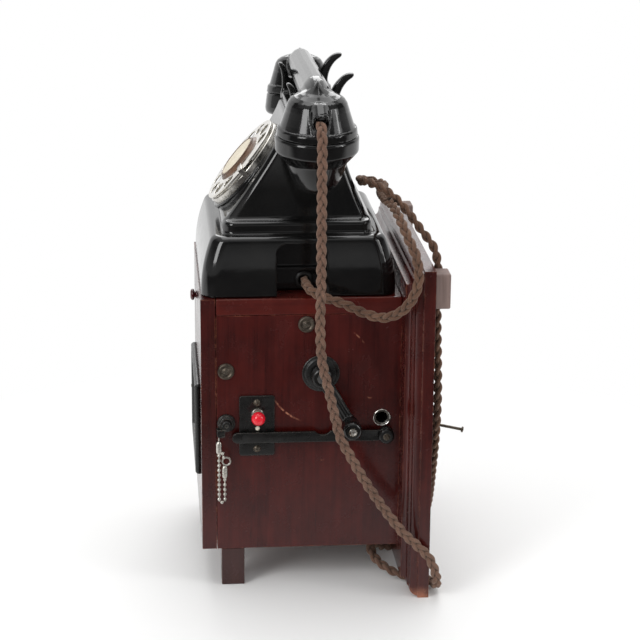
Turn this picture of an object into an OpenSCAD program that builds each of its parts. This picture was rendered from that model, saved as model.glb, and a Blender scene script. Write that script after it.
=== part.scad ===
/* [Box] */
// Width of the wooden box across its side panels
box_w = 185; // [176:1:200]
// Depth of the side panels from the door to the backboard
box_d = 151.5; // [146:0.5:170]
// Height of the box from its underside to its top
box_h = 217; // [214:1:240]
// Thickness of the side panels
side_t = 12; // [9:0.5:13]
// Thickness of the top board
top_t = 14; // [10:0.5:16]
// Thickness of the bottom board
bottom_t = 12; // [9:0.5:14]
// Height of the front legs
leg_h = 33; // [28:1:45]
// Width of each square front leg
leg_w = 19; // [14:1:26]
// Distance from the front of the side panels to the legs
leg_inset = 3.5; // [0:0.5:10]

/* [Front door] */
// Thickness of the door
door_t = 12; // [9:0.5:15]
// Gap between the closed door and the box
door_gap = 0.5; // [0.4:0.1:1]
// Length of the turned knob on the door
door_knob_l = 6; // [5:0.5:9]
// Radius of the knob on the door
door_knob_r = 5; // [3.5:0.5:7]
// Height of the knob below the top of the door
door_knob_drop = 22; // [12:1:30]
// Width of the notice frame
notice_w = 120; // [90:1:140]
// Height of the notice frame
notice_h = 80; // [60:1:100]
// Width of the rim of the notice frame
notice_rim = 7; // [5:0.5:9]
// Depth of the notice frame
notice_t = 4.5; // [3.5:0.5:6]
// Height of the bottom of the notice frame above the underside of the box
notice_z = 54; // [30:1:80]
// Thickness of the notice card and of its glass
card_t = 0.8; // [0.5:0.1:1.2]
// Radius of the hinge knuckles
knuckle_r = 2.6; // [2.2:0.1:4]
// Radius of the hinge pins
hinge_pin_r = 1.2; // [0.8:0.1:1.6]
// Height of each hinge
hinge_h = 45; // [30:1:60]
// Thickness of the hinge leaves
leaf_t = 1.4; // [1:0.1:2]
// Width of each hinge leaf
leaf_w = 9; // [7:0.5:11]

/* [Backboard] */
// Width of the backboard
board_w = 260; // [250:1:290]
// Height of the backboard
board_h = 281; // [270:1:310]
// Thickness of the backboard
board_t = 22; // [18:1:28]
// Thickness of the flat edge behind the moulding
board_edge_t = 9.5; // [7:0.5:12]
// Width of the moulding round the front of the backboard
moulding_w = 14; // [8:1:16]
// Width of each foot of the backboard
foot_w = 22; // [16:1:23]
// Height of the arch between the feet
arch_h = 13; // [11:1:16]
// Distance between the wall screw holes across the backboard
wall_hole_w = 226; // [222:1:230]
// Distance between the wall screw holes up the backboard
wall_hole_h = 210; // [180:1:215]
// Height of the lower wall screw holes
wall_hole_z = 52; // [40:1:58]
// Radius of the wall screw holes
wall_hole_r = 2.6; // [2:0.1:3.5]
// Thickness of the spacers behind the backboard
spacer_t = 12.5; // [12:0.5:18]
// Width of each spacer
spacer_w = 20; // [16:1:22]
// Height of each spacer
spacer_h = 29; // [20:1:36]
// Reach of the nail behind the backboard
nail_out = 31; // [20:1:40]
// Radius of the nail
nail_r = 1.2; // [0.8:0.1:2]
// Tilt of the nail below level
nail_tilt = 13; // [0:1:20]
// Height of the nail
nail_z = 142; // [120:1:160]

/* [Telephone case] */
// Width of the case at its foot
case_w = 180; // [176:1:184]
// Depth of the case at its foot
case_d = 159; // [155:1:160]
// Height of the skirt of the case
skirt_h = 49; // [47:1:52]
// Draw-in of each side of the skirt from foot to top
skirt_in = 6; // [3:0.5:8]
// Draw-in of the front and the back of the skirt
skirt_in_y = 9; // [6:0.5:11]
// Corner radius of the skirt
skirt_r = 14; // [8:1:18]
// Height of the step above the skirt
step_h = 10; // [6:1:11]
// Width of the ledge round the step
step_in = 10; // [7:0.5:11]
// Height of the pyramid above the step
pyramid_h = 79; // [78:1:82]
// Width of the pyramid at its top
pyramid_top_w = 100; // [96:1:102]
// Depth of the pyramid at its top
pyramid_top_d = 42; // [38:1:46]
// Wall thickness of the case
case_wall = 4; // [3:0.5:4.5]
// Thickness of the base plate
base_t = 3; // [2:0.5:4]
// Width of each finger recess
recess_w = 40; // [32:1:44]
// Height of each finger recess
recess_h = 43; // [36:1:43]
// Depth of each finger recess from the foot of the case
recess_d = 21; // [16:1:24]

/* [Dial] */
// Radius of the nickel ring round the dial
dial_r = 41.5; // [40:0.5:43]
// Angle of the dial from level
dial_tilt = 50.4; // [48:0.2:53]
// Height of the middle of the dial above the top of the box
dial_z = 94; // [92:1:96]
// Width of the nickel ring
bezel_w = 5; // [4:0.5:6]
// Radius of each finger hole
finger_hole_r = 5.8; // [4.5:0.1:6.2]
// Radius of the ring of finger holes
finger_ring_r = 32; // [30.5:0.5:33]
// Thickness of the finger plate
finger_plate_t = 1.2; // [0.8:0.1:1.6]
// Radius of the dial shaft
dial_shaft_r = 2.5; // [2:0.1:4]
// Radius of the label in the middle of the dial
label_r = 18.5; // [15:0.5:20]
// Height of the label above the finger plate
label_lift = 2.2; // [1:0.1:3]

/* [Handset] */
// Distance between the middles of the two ends of the handset
handset_l = 182; // [178:1:186]
// Height of the underside of the handle above the top of the box
handle_z = 154.3; // [154.3:0.1:158]
// Drop from the underside of the handle to the top of the caps
cap_drop = 19.4; // [17:0.2:21]
// Lean of each end of the handset away from the middle
end_lean = 5; // [0:0.5:7]
// Height of the handle
handle_h = 22.5; // [20:0.5:26]
// Width of the handle
handle_w = 24; // [20:1:26]
// Radius of the ring of the transmitter cap
transmitter_r = 33.5; // [30:0.5:34]
// Height of the transmitter cap
transmitter_h = 46; // [42:1:48]
// Height of the ring of the transmitter cap
ring_h = 12.3; // [10:0.1:14]
// Radius of the receiver cap
receiver_r = 28.5; // [26:0.5:31]
// Height of the receiver cap
receiver_h = 19; // [16:1:22]
// Lift of the handset off its cradle
handset_travel = 120; // [60:5:200]
// Radius of each cradle plunger
plunger_r = 3; // [2:0.1:4]
// Travel of the cradle plungers
plunger_travel = 5; // [3:0.5:6]

/* [Hand crank] */
// Radius of the circle that the crank knob turns on
crank_r = 45.5; // [43:0.5:50]
// Radius of the crank shaft
crank_shaft_r = 4; // [3:0.1:5]
// Radius of the round plate under the crank
escutcheon_r = 15.5; // [12:0.5:18]
// Radius of the crank knob
knob_r = 8; // [6:0.5:8]
// Length of the crank knob
knob_l = 21; // [16:1:21]
// Teeth on the crank gear
gear_teeth = 48; // [40:1:52]
// Teeth on the armature pinion
pinion_teeth = 12; // [12:1:16]
// Module of the generator gears
gear_module = 1.25; // [1.1:0.05:1.3]
// Thickness of the gears
gear_t = 6; // [4:0.5:8]
// Radius of the armature
armature_r = 16; // [12:0.5:17]

/* [Side fittings] */
// Width of the button plate
plate_w = 29; // [24:1:32]
// Height of the button plate
plate_h = 52; // [46:1:56]
// Thickness of the button plate
plate_t = 2; // [1:0.5:2.5]
// Radius of the red button
button_r = 5.75; // [5:0.25:6]
// Travel of the button
button_travel = 4; // [2:0.5:4]
// Width of the lock bar
bar_w = 9; // [7:0.5:10]
// Thickness of the lock bar
bar_t = 3; // [2:0.5:3.5]
// Length of the lock bar from its pivot to its free end
bar_l = 127; // [120:1:128]
// Radius of the cup washers
cup_r = 7; // [5:0.5:7.5]
// Radius of the beads of the chain
bead_r = 1.6; // [1.2:0.1:1.8]
// Radius of the nickel eyelet
eyelet_r = 7.4; // [6:0.2:8]

/* [Inside] */
// Radius of each bell gong
gong_r = 25; // [20:1:27]
// Height of each bell gong
gong_h = 13; // [10:1:16]
// Radius of each dry cell
cell_r = 28; // [22:1:30]
// Height of each dry cell
cell_h = 112; // [90:1:120]

/* [Cords] */
// Diameter of the plaited cords
cord_d = 8.5; // [7:0.5:8.5]

/* [Hidden] */
$fn = 64;
eps = 0.01;

// Small fits
face_gap = 0.3;
running_fit = 0.05;
seat_gap = 0.2;
wood_red = [0.30, 0.07, 0.05];
bakelite = [0.05, 0.05, 0.06];
nickel = [0.78, 0.78, 0.76];
black_metal = [0.10, 0.10, 0.11];
brass = [0.72, 0.58, 0.30];
steel = [0.62, 0.63, 0.65];

// Heights of the box
box_bottom = leg_h;
box_top = leg_h + box_h;
panel_top = box_top - top_t;
floor_z = box_bottom + bottom_t;

// Depths, with the middle of the whole length at zero
front_proud = max(notice_t, door_knob_l);
total_d = front_proud + door_t + door_gap + box_d + board_t + nail_out;
door_front = -total_d / 2 + front_proud;
door_back = door_front + door_t;
box_front = door_back + door_gap;
box_back = box_front + box_d;
board_back = box_back + board_t;
side_x = box_w / 2;
inner_x = side_x - side_t;

// Hinges of the door, on the left side
hinge_x = -side_x - knuckle_r;
hinge_y = box_front - door_gap / 2;
hinge_zs = [box_bottom + 22, panel_top - 22 - hinge_h];
knuckle_gap = 0.3;

// Telephone case
case_y = box_front + 68;
skirt_top = box_top + skirt_h;
step_top = skirt_top + step_h;
pyramid_top = step_top + pyramid_h;
case_front = case_y - case_d / 2;
case_back = case_y + case_d / 2;
top_y = case_y + 13;
flare_1 = 0.27;
flare_2 = 0.55;
recess_y = case_y + 2;
recess_x = case_w / 2 - recess_d;

// Dial: its own frame has Z out of its face
dial_y = case_front + 37.5;
dial_pos = [0, dial_y, box_top + dial_z];
plate_front = 2.7;
number_z = -6.2;
number_t = 0.8;
boss_r = dial_r + 2.5;
well_r = dial_r - bezel_w + 1.5;
well_z = -34;

// Handset
handset_y = top_y;
handle_bottom = box_top + handle_z;
cap_top = handle_bottom - cap_drop;
end_x = handset_l / 2;
cup_r_in = 21.5;
cup_h = 13;
dome_h = 32;
thread_gap = 0.3;

// Cradle
fork_x = 50;
fork_t = 11;
cradle_t = 5;
cradle_bottom = pyramid_top + seat_gap;
saddle_z = handle_bottom - face_gap;
plunger_x = 20;

// Crank and generator
crank_y = box_front + 85.5;
crank_z = box_bottom + 153;
crank_angle = 30.7;
gear_x = side_x - side_t - 14;
gear_r = gear_module * gear_teeth / 2;
pinion_r = gear_module * pinion_teeth / 2;
armature_z = crank_z - gear_r - pinion_r;
armature_l = 50;
frame_x = gear_x - 6;
frame_t = 3;
pole_w = 2 * armature_r + 22;
magnet_t = 9;
magnet_gap = 0.2;
magnet_half = pole_w / 2 + magnet_t;
shelf_t = 9;
sole_t = 3;
bush_r = crank_shaft_r + 3;
escutcheon_t = 3.5;
arm_x = side_x + 9;
arm_t = 5;

// Side fittings
plate_y = box_front + 33;
plate_z = box_bottom + 109;
button_z = plate_z + 10;
button_y = plate_y + 0.5;
stem_r = 2.6;
bar_x = side_x + 3.7;
bar_pivot_y = box_front + 139.5;
bar_pivot_z = box_bottom + 100;
keeper_y = box_front + 7.8;
keeper_z = box_bottom + 111.5;
keeper_r = 7.6;
keeper_l = 9;
chain_x = bar_x + bar_t + face_gap + bead_r + 0.5;
chain_y = keeper_y - 6.4;
eyelet_y = bar_pivot_y - 3;
eyelet_z = bar_pivot_z + 13.5;
screw_places = [[box_front + 73.5, panel_top - cup_r - 1], [box_front + cup_r + 0.8, box_bottom + 156]];

// Ringer and cells, in the left half of the box
ringer_x = -40;
ringer_t = 5;
gong_gap = 12;
gong_drop = 32;
clapper_pin_r = 0.8;
clapper_drop = 31.5;
ringer_y = box_front + 76;
coil_r = 9;
coil_l = 30;
gong_pitch = 2 * gong_r + gong_gap;
clapper_r = 2;

// Cord routes, from one end to the other
cord_r = cord_d / 2;
cord_sides = 8;
gland_tilt = 30;
gland_l = 14;
gland_r = cord_r + 1.2;
gland_out = [end_x + transmitter_r + 3, handset_y, handle_bottom - 5.5];
handset_bush_at = [68, box_front + 131, box_bottom];
line_bush_at = [50, box_front + 136, box_bottom];
recess_bush_at = [recess_x, recess_y + 3, box_top + 9];
bush_flange = 2;
flange_r = cord_r + 3.5;

handset_route = [
    [135, -12, 393], [138, -12, 386], [139, -12, 376], [139, -12, 350], [139, -12, 325],
    [139, -12, 300], [139, -12, 270], [139, -12.5, 240], [138, -10.5, 210], [137, -4.5, 184],
    [136, 1, 160], [135.5, 4.5, 146], [135, 12, 131], [135, 23, 111], [136, 35, 92], [136, 46, 76],
    [137, 57, 62], [137, 69, 50], [137, 79, 39], [136.5, 83.5, 29], [135, 86, 20], [130, 87, 12.5],
    [121, 87.5, 7.5], [111, 87.2, 5.2], [104, 84.8, 4.6], [99.3, 77, 4.6], [96.5, 66, 5],
    [93, 57, 7], [88, 49.5, 10], [82, 44, 12.5], [76, 40.5, 15.5], [71, 38.5, 20]];
line_route = [
    [90, -19, 260], [101, -17, 259], [110, -8, 256], [113, 8, 251], [116, 24, 244], [121, 39, 241],
    [129, 51, 247], [135, 60, 259], [138, 65, 275], [133, 64, 292], [121, 58, 307], [103, 53, 319],
    [83, 50, 324], [58, 47.5, 323], [30, 47.5, 321], [5, 50, 318], [-15, 54, 315.5],
    [-33, 57, 313.5], [-48, 54.5, 312.5], [-55.5, 46.5, 313], [-48, 38.8, 315], [-32, 36.5, 318],
    [-10, 34.5, 323], [10, 32, 328], [28, 29.5, 332.5], [40, 29, 335], [51, 31, 337], [63, 39, 336],
    [74, 51, 330], [85, 63, 318], [93, 73, 305], [98, 82.5, 292], [99, 86, 276], [100, 86, 255],
    [104, 85.7, 230], [111, 85.7, 205], [117, 85.7, 175], [114, 85.7, 148], [104, 86, 122],
    [92, 86.5, 100], [78, 87.5, 80], [62, 88.5, 61], [47, 88.8, 43], [40, 88.8, 30],
    [37, 88.8, 21.6], [35.5, 86.6, 13.1], [34.5, 83.8, 9.6], [33.5, 80, 6.7], [32.5, 71.8, 4.6],
    [32, 64, 5], [35, 57, 6.5], [40, 51, 9], [45.5, 46.5, 13.5], [49, 44, 20]];

// ---------- helpers ----------

// A flat slab with round corners, for hulls between levels
module level(z, hx, y0, y1, r) {
    translate([0, (y0 + y1) / 2, z]) linear_extrude(eps)
        rounded(2 * hx, y1 - y0, r, 32);
}

module rounded(w, d, r, fn = 64) {
    union() {
        square([w - 2 * r, d], center = true);
        square([w, d - 2 * r], center = true);
        for (i = [-1, 1], j = [-1, 1])
            translate([i * (w / 2 - r), j * (d / 2 - r)]) circle(r, $fn = fn);
    }
}

// A cylinder along +X from its starting point
module rod_x(at, r, l) { translate(at) rotate([0, 90, 0]) cylinder(r = r, h = l); }

// A cylinder along +Y from its starting point
module rod_y(at, r, l) { translate(at) rotate([-90, 0, 0]) cylinder(r = r, h = l); }

module box(a, b) { translate(a) cube(b - a); }

module in_dial() { translate(dial_pos) rotate([dial_tilt, 0, 0]) children(); }

// Points of a smooth curve through the route, n to each stretch
function spline(p, n) = let (m = len(p) - 1) [
    for (i = [0:m - 1], k = [0:n - 1])
        let (t = k / n, a = p[max(i - 1, 0)], b = p[i], c = p[i + 1], d = p[min(i + 2, m)])
        0.5 * (2 * b + (c - a) * t + (2 * a - 5 * b + 4 * c - d) * t * t
            + (3 * b - a - 3 * c + d) * t * t * t),
    p[m],
];
function unit(v) = v / norm(v);
function along(p, i) = unit(p[min(i + 1, len(p) - 1)] - p[max(i - 1, 0)]);
function square_to(t, v) = unit(v - t * (v * t));

// A tube of cord_sides sides along points p, with flat ends square to the first and last stretch
module tube(p, r, side) {
    m = len(p);
    sides = [for (i = 0, n = square_to(along(p, 0), side); i < m;
        i = i + 1, n = i < m ? square_to(along(p, i), n) : n) n];
    rings = [for (i = [0:m - 1], k = [0:cord_sides - 1])
        let (a = 360 * (k + 0.5) / cord_sides, t = along(p, i))
        p[i] + r * (cos(a) * sides[i] + sin(a) * cross(t, sides[i]))];
    faces = [
        for (i = [0:m - 2], k = [0:cord_sides - 1])
            let (j = (k + 1) % cord_sides, a = i * cord_sides, b = a + cord_sides)
            each [[a + k, b + k, b + j], [a + k, b + j, a + j]],
        for (k = [1:cord_sides - 2]) [0, k, k + 1],
        for (k = [1:cord_sides - 2]) let (e = (m - 1) * cord_sides) [e, e + k + 1, e + k],
    ];
    polyhedron(points = rings, faces = faces, convexity = 10);
}

// One involute tooth flank, from the root to the tip
function involute(base, r) = let (t = sqrt(max(0, pow(r / base, 2) - 1)))
    r < base ? 0 : t * 180 / PI - atan(t);

module spur(teeth, backlash) {
    pitch = gear_module * teeth / 2;
    base = pitch * cos(20);
    tip = pitch + gear_module;
    root = pitch - 1.25 * gear_module;
    half = 90 / teeth + involute(base, pitch) - backlash / pitch * 90 / PI;
    radii = [for (k = [0:4]) max(base, root) + (tip - max(base, root)) * k / 4];
    points = [for (i = [0:teeth - 1]) let (a = 360 * i / teeth) each concat(
        [[root, a - half]],
        [for (k = [0:4]) [radii[k], a - half + involute(base, radii[k])]],
        [for (k = [4:-1:0]) [radii[k], a + half - involute(base, radii[k])]],
        [[root, a + half]])];
    polygon([for (q = points) q[0] * [cos(q[1]), sin(q[1])]]);
}

// ---------- wooden box ----------

module side_panel(x0) {
    box([x0, box_front, box_bottom], [x0 + side_t, box_back, panel_top]);
}

module side_panel_right() {
    color(wood_red) difference() {
        side_panel(inner_x);
        rod_x([inner_x - 1, crank_y, crank_z], bush_r + seat_gap / 4, side_t + 2);
        rod_x([inner_x - 1, button_y, button_z], stem_r + 1, side_t + 2);
        rod_x([inner_x - 1, eyelet_y, eyelet_z], eyelet_r - 2 + eps, side_t + 2);
        rod_x([side_x - 8, bar_pivot_y, bar_pivot_z], 2.05, 9);
        rod_x([side_x - 8, keeper_y, keeper_z], 2.05, 9);
        for (p = screw_places) rod_x([inner_x - 1, p[0], p[1]], 1.8, side_t + 2);
        for (j = [-1, 1]) rod_x([side_x - 7, plate_y, plate_z + j * (plate_h / 2 - 6)], 1.25, 8);
    }
}

module side_panel_left() {
    color(wood_red) side_panel(-side_x);
}

module top_board() {
    color([0.42, 0.10, 0.06])
        box([-side_x, box_front, panel_top], [side_x, box_back, box_top]);
}

module bottom_board() {
    color(wood_red) difference() {
        box([-inner_x, box_front, box_bottom], [inner_x, box_back, floor_z]);
        for (p = [handset_bush_at, line_bush_at])
            translate([p[0], p[1], box_bottom - 1]) cylinder(r = cord_r + 1.6, h = bottom_t + 2);
    }
}

module front_legs() {
    color(wood_red) for (s = [-1, 1])
        translate([s * (side_x - leg_w / 2), box_front + leg_inset + leg_w / 2, leg_h / 2])
            cube([leg_w, leg_w, leg_h], center = true);
}

// Half of the moulding: a step, a hollow and a quarter round, from the edge inwards
function ogee(n) = let (a = board_edge_t, d = board_t - board_edge_t, w = moulding_w) concat(
    [[0, a]],
    [for (k = [0:n]) let (q = 90 * k / n) [0.12 * w + 0.4 * w * (1 - cos(q)), a + 0.5 * d * sin(q)]],
    [for (k = [0:n]) let (q = 90 * k / n)
        [0.62 * w + 0.38 * w * sin(q), a + 0.62 * d + 0.38 * d * (1 - cos(q))]]);

// Outline across a board of width w, with the moulding at both edges
module moulded(w) {
    edge = ogee(4);
    polygon(concat([[-w / 2, 0]], [for (p = edge) [-w / 2 + p[0], p[1]]],
        [for (i = [len(edge) - 1:-1:0]) [w / 2 - edge[i][0], edge[i][1]]], [[w / 2, 0]]));
}

module wall_holes(y0, l) {
    for (x = [-1, 1], k = [0, 1])
        rod_y([x * wall_hole_w / 2, y0, wall_hole_z + k * wall_hole_h], wall_hole_r, l);
}

// The axis of the nail, pointing out of the back of the board
module on_nail() {
    translate([95, board_back, nail_z]) rotate([-90 - nail_tilt, 0, 0]) children();
}

module backboard() {
    color(wood_red) difference() {
        translate([0, board_back, 0]) intersection() {
            rotate([0, 0, 180]) linear_extrude(board_h) moulded(board_w);
            translate([0, 0, board_h / 2]) rotate([0, 90, 0]) rotate([0, 0, 180])
                linear_extrude(board_w + 2, center = true) moulded(board_h);
        }
        box([-board_w / 2 + foot_w, box_back - 1, -1],
            [board_w / 2 - foot_w, board_back + 1, arch_h]);
        wall_holes(box_back - 1, board_t + 2);
        on_nail() translate([0, 0, -14]) cylinder(r = nail_r + eps, h = 15);
    }
}

module wall_spacers() {
    color([0.35, 0.28, 0.22]) difference() {
        for (s = [-1, 1])
            translate([s * (wall_hole_w / 2 + 3), board_back + spacer_t / 2,
                wall_hole_z + wall_hole_h + 1])
                cube([spacer_w, spacer_t, spacer_h], center = true);
        wall_holes(board_back - 1, spacer_t + 2);
    }
}

module hanging_nail() {
    head_r = 2 * nail_r;
    length = (nail_out - head_r * sin(nail_tilt)) / cos(nail_tilt);
    color(steel) on_nail() union() {
        translate([0, 0, -14]) cylinder(r = nail_r, h = 14 + length);
        translate([0, 0, length - 1]) cylinder(r = head_r, h = 1);
    }
}

// ---------- front door ----------

module front_door() {
    color(wood_red) difference() {
        box([-side_x, door_front, box_bottom], [side_x, door_back, box_top]);
        rod_y([0, door_front - 1, box_top - door_knob_drop], 2.05, 9);
    }
}

module notice_frame() {
    z0 = box_bottom + notice_z;
    color(black_metal) difference() {
        translate([0, door_front, z0 + notice_h / 2]) rotate([90, 0, 0])
            linear_extrude(notice_t) rounded(notice_w, notice_h, 2);
        translate([0, door_front + 1, z0 + notice_h / 2]) rotate([90, 0, 0])
            linear_extrude(notice_t + 2)
            rounded(notice_w - 2 * notice_rim, notice_h - 2 * notice_rim, 1);
    }
}

module notice_sheet(y_back) {
    z0 = box_bottom + notice_z + notice_rim;
    w = notice_w / 2 - notice_rim - seat_gap;
    box([-w, y_back - card_t, z0 + seat_gap],
        [w, y_back, z0 + notice_h - 2 * notice_rim - seat_gap]);
}

module notice_card() {
    color([0.85, 0.82, 0.72]) notice_sheet(door_front);
}

module notice_glass() {
    color([0.7, 0.8, 0.8, 0.4]) notice_sheet(door_front - card_t - seat_gap);
}

module door_knob() {
    z = box_top - door_knob_drop;
    color([0.25, 0.06, 0.08]) union() {
        rod_y([0, door_front - door_knob_l, z], 2, door_knob_l + 7);
        intersection() {
            translate([0, door_front - door_knob_l + door_knob_r, z]) sphere(door_knob_r);
            rod_y([0, door_front - door_knob_l, z], door_knob_r + 1, door_knob_l - 0.5);
        }
    }
}

// One hinge leaf with its knuckles; side is -1 for the door and 1 for the box
module leaf(z0, side, knuckles) {
    third = hinge_h / 3;
    y0 = side < 0 ? door_back - leaf_w : box_front;
    box([-side_x - leaf_t, y0, z0], [-side_x, y0 + leaf_w, z0 + hinge_h]);
    for (k = knuckles) translate([0, 0, z0 + k * third + knuckle_gap / 2]) union() {
        translate([hinge_x, hinge_y, 0]) cylinder(r = knuckle_r, h = third - knuckle_gap);
        box([-side_x - leaf_t, min(y0 + leaf_w, hinge_y), 0],
            [-side_x, max(y0, hinge_y), third - knuckle_gap]);
    }
}

// The pins are staked in the box leaves
module hinge_box_leaves() {
    third = hinge_h / 3;
    color(brass) for (z0 = hinge_zs) union() {
        difference() {
            leaf(z0, 1, [0, 2]);
            translate([hinge_x, hinge_y, z0 + third - knuckle_gap / 2])
                cylinder(r = knuckle_r + 0.4, h = third + knuckle_gap);
        }
        translate([hinge_x, hinge_y, z0 + 1]) cylinder(r = hinge_pin_r, h = hinge_h - 2);
    }
}

module hinge_door_leaves() {
    third = hinge_h / 3;
    color(brass) for (z0 = hinge_zs) difference() {
        leaf(z0, -1, [1]);
        translate([hinge_x, hinge_y, z0 - 1])
            cylinder(r = hinge_pin_r + running_fit, h = hinge_h + 2);
        for (k = [0, 2]) translate([hinge_x, hinge_y, z0 + k * third - knuckle_gap / 2])
            cylinder(r = knuckle_r + 0.4, h = third + knuckle_gap);
    }
}

// ---------- telephone case ----------

// Half width, front and back of the outside of the pyramid at share s of its height
function pyramid_x(s) = let (a = case_w / 2 - skirt_in - step_in - 8, b = pyramid_top_w / 2)
    b + (a - b) * pow(1 - s, 2.2);
function pyramid_y(s, side) = let (b = top_y + side * pyramid_top_d / 2,
    a = case_y + side * (case_d / 2 - skirt_in_y - step_in - 2))
    b + (a - b) * pow(1 - s, side < 0 ? 1.25 : 1.6);

module pyramid_level(s, inset, lift) {
    level(step_top + s * pyramid_h + lift, pyramid_x(s) - inset,
        pyramid_y(s, -1) + inset, pyramid_y(s, 1) - inset, max(2, 9 - inset));
}

module skirt_level(z, in_x, in_y, inset) {
    level(z, case_w / 2 - in_x - inset, case_front + in_y + inset, case_back - in_y - inset,
        max(2, skirt_r - inset));
}

module case_outside() {
    hull() {
        skirt_level(box_top + face_gap, 0, 0, 0);
        skirt_level(skirt_top - eps, skirt_in, skirt_in_y, 0);
    }
    translate([0, 0, skirt_top - 1]) translate([0, case_y, 0]) linear_extrude(step_h + 1)
        rounded(case_w - 2 * (skirt_in + step_in), case_d - 2 * (skirt_in_y + step_in), 10);
    hull() {
        pyramid_level(0, 0, -eps);
        pyramid_level(flare_1, 0, 0);
    }
    hull() {
        pyramid_level(flare_1, 0, -eps);
        pyramid_level(flare_2, 0, 0);
    }
    hull() {
        pyramid_level(flare_2, 0, -eps);
        pyramid_level(1, 0, -eps);
    }
    in_dial() translate([0, 0, well_z - 3]) cylinder(r = boss_r, h = -well_z - 2);
}

module case_inside() {
    hull() {
        skirt_level(box_top - 1, 0, 0, case_wall);
        skirt_level(skirt_top - case_wall, skirt_in, skirt_in_y, case_wall);
    }
    hull() {
        pyramid_level(0, case_wall + 4, -step_h - case_wall - 1);
        pyramid_level(flare_2, case_wall, -2);
    }
    hull() {
        pyramid_level(flare_2, case_wall, -3);
        pyramid_level(1, case_wall, -case_wall);
    }
}

module recess_block(grow) {
    z1 = box_top + recess_h + grow;
    for (s = [-1, 1]) translate([s * (recess_x - grow), recess_y, 0])
        mirror([s < 0 ? 1 : 0, 0, 0]) rotate([90, 0, 90])
        linear_extrude(grow > 0 ? recess_d - skirt_in + grow - 1 : recess_d + 5)
        union() {
            translate([-recess_w / 2 - grow, box_top + (grow > 0 ? face_gap : -1)])
                square([recess_w + 2 * grow, recess_h - 9 + (grow > 0 ? 0 : 1)]);
            translate([-recess_w / 2 - grow + 9, box_top + 1])
                square([recess_w + 2 * grow - 18, z1 - box_top - 1]);
            for (k = [-1, 1]) translate([k * (recess_w / 2 + grow - 9), z1 - 9]) circle(9);
        }
}

module phone_case() {
    color(bakelite) difference() {
        union() {
            difference() {
                case_outside();
                case_inside();
            }
            recess_block(case_wall - 1);
            in_dial() translate([0, 0, well_z - 3]) difference() {
                cylinder(r = boss_r, h = -well_z - 2);
                translate([0, 0, -1]) cylinder(r = boss_r - 4, h = 60);
            }
        }
        recess_block(0);
        in_dial() translate([0, 0, well_z]) cylinder(r = well_r, h = 60);
        in_dial() translate([0, 0, -5 - seat_gap]) cylinder(r = dial_r + seat_gap, h = 20);
        for (s = [-1, 1]) translate([s * plunger_x, handset_y, pyramid_top - 12])
            cylinder(r = plunger_r + running_fit, h = 20);
        rod_x([recess_x - case_wall - 2, recess_bush_at[1], recess_bush_at[2]], cord_r + 1.6,
            case_wall + 3);
    }
}

module base_plate() {
    y0 = case_front + case_wall + 1;
    y1 = case_back - case_wall - 1;
    w = case_w - 2 * (case_wall + 1);
    cut = recess_d + case_wall + 1;
    color(black_metal) difference() {
        translate([0, (y0 + y1) / 2, box_top]) linear_extrude(base_t)
            rounded(w, y1 - y0, skirt_r - case_wall);
        for (s = [-1, 1])
            translate([s * case_w / 2, recess_y, box_top + base_t / 2])
                cube([2 * cut, recess_w + 2 * case_wall + 2, base_t + 2], center = true);
    }
}

// One fork of the cradle: two curved horns that rise from a saddle, the rear one longer
module fork_outline() {
    hw = handle_w / 2 + 1.5;
    s = saddle_z - cradle_bottom;
    polygon(concat(
        [[-hw - 4.5, 0], [-hw - 4.5, s + 2], [-hw - 6, s + 8.4], [-hw - 8.3, s + 13.2]],
        [[-hw - 6.5, s + 14.5], [-hw - 4, s + 13.3], [-hw - 1.5, s + 10.3], [-hw, s + 6], [-hw + 1, s]],
        [[hw - 1, s], [hw, s + 5], [hw + 1, s + 8.5], [hw + 3.2, s + 12.4], [hw + 6, s + 15.7]],
        [[hw + 9, s + 19], [hw + 12.5, s + 21.3], [hw + 17, s + 22.3], [hw + 20, s + 21]],
        [[hw + 18.5, s + 19], [hw + 15, s + 16.5], [hw + 12, s + 13.5], [hw + 9.5, s + 9]],
        [[hw + 7.5, s + 3], [hw + 6.5, s - 3], [hw + 6.5, 0]]));
}

module cradle() {
    color(bakelite) difference() {
        union() {
            translate([0, handset_y, cradle_bottom]) linear_extrude(cradle_t)
                rounded(2 * fork_x + fork_t, pyramid_top_d - 4, 5);
            for (s = [-1, 1])
                translate([s * fork_x - fork_t / 2, handset_y, cradle_bottom])
                    rotate([90, 0, 90]) linear_extrude(fork_t) fork_outline();
        }
        for (s = [-1, 1]) translate([s * plunger_x, handset_y, cradle_bottom - 1])
            cylinder(r = plunger_r + running_fit, h = cradle_t + 2);
    }
}

module cradle_plungers() {
    length = saddle_z - pyramid_top + 18;
    color(bakelite) for (s = [-1, 1])
        translate([s * plunger_x, handset_y, saddle_z - length]) cylinder(r = plunger_r, h = length);
    color(bakelite) translate([0, handset_y, saddle_z - length + 2])
        cube([2 * plunger_x, 2 * plunger_r, 4], center = true);
}

module hook_switch() {
    top = pyramid_top - 18 - face_gap;
    post_y = handset_y + 6;
    color(brass) union() {
        for (k = [-1:1]) box([-34, handset_y + k * 5 - 2, top - 1], [34, handset_y + k * 5 + 2, top]);
        box([-8, handset_y - 2, top - 11], [8, post_y + 8, top - 1 + eps]);
        box([-5, handset_y - 7, top - 3], [5, handset_y, top - 1 + eps]);
        box([-4, post_y, box_top + base_t], [4, post_y + 8, top - 10]);
    }
}

// ---------- dial ----------

module dial_bezel() {
    color(nickel) in_dial() rotate_extrude() polygon([
        [dial_r - bezel_w, -5], [dial_r, -5], [dial_r, -1.2], [dial_r - 0.6, -0.4],
        [dial_r - bezel_w / 2, 0], [dial_r - bezel_w + 0.6, -0.8], [dial_r - bezel_w, -2]]);
}

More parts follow.
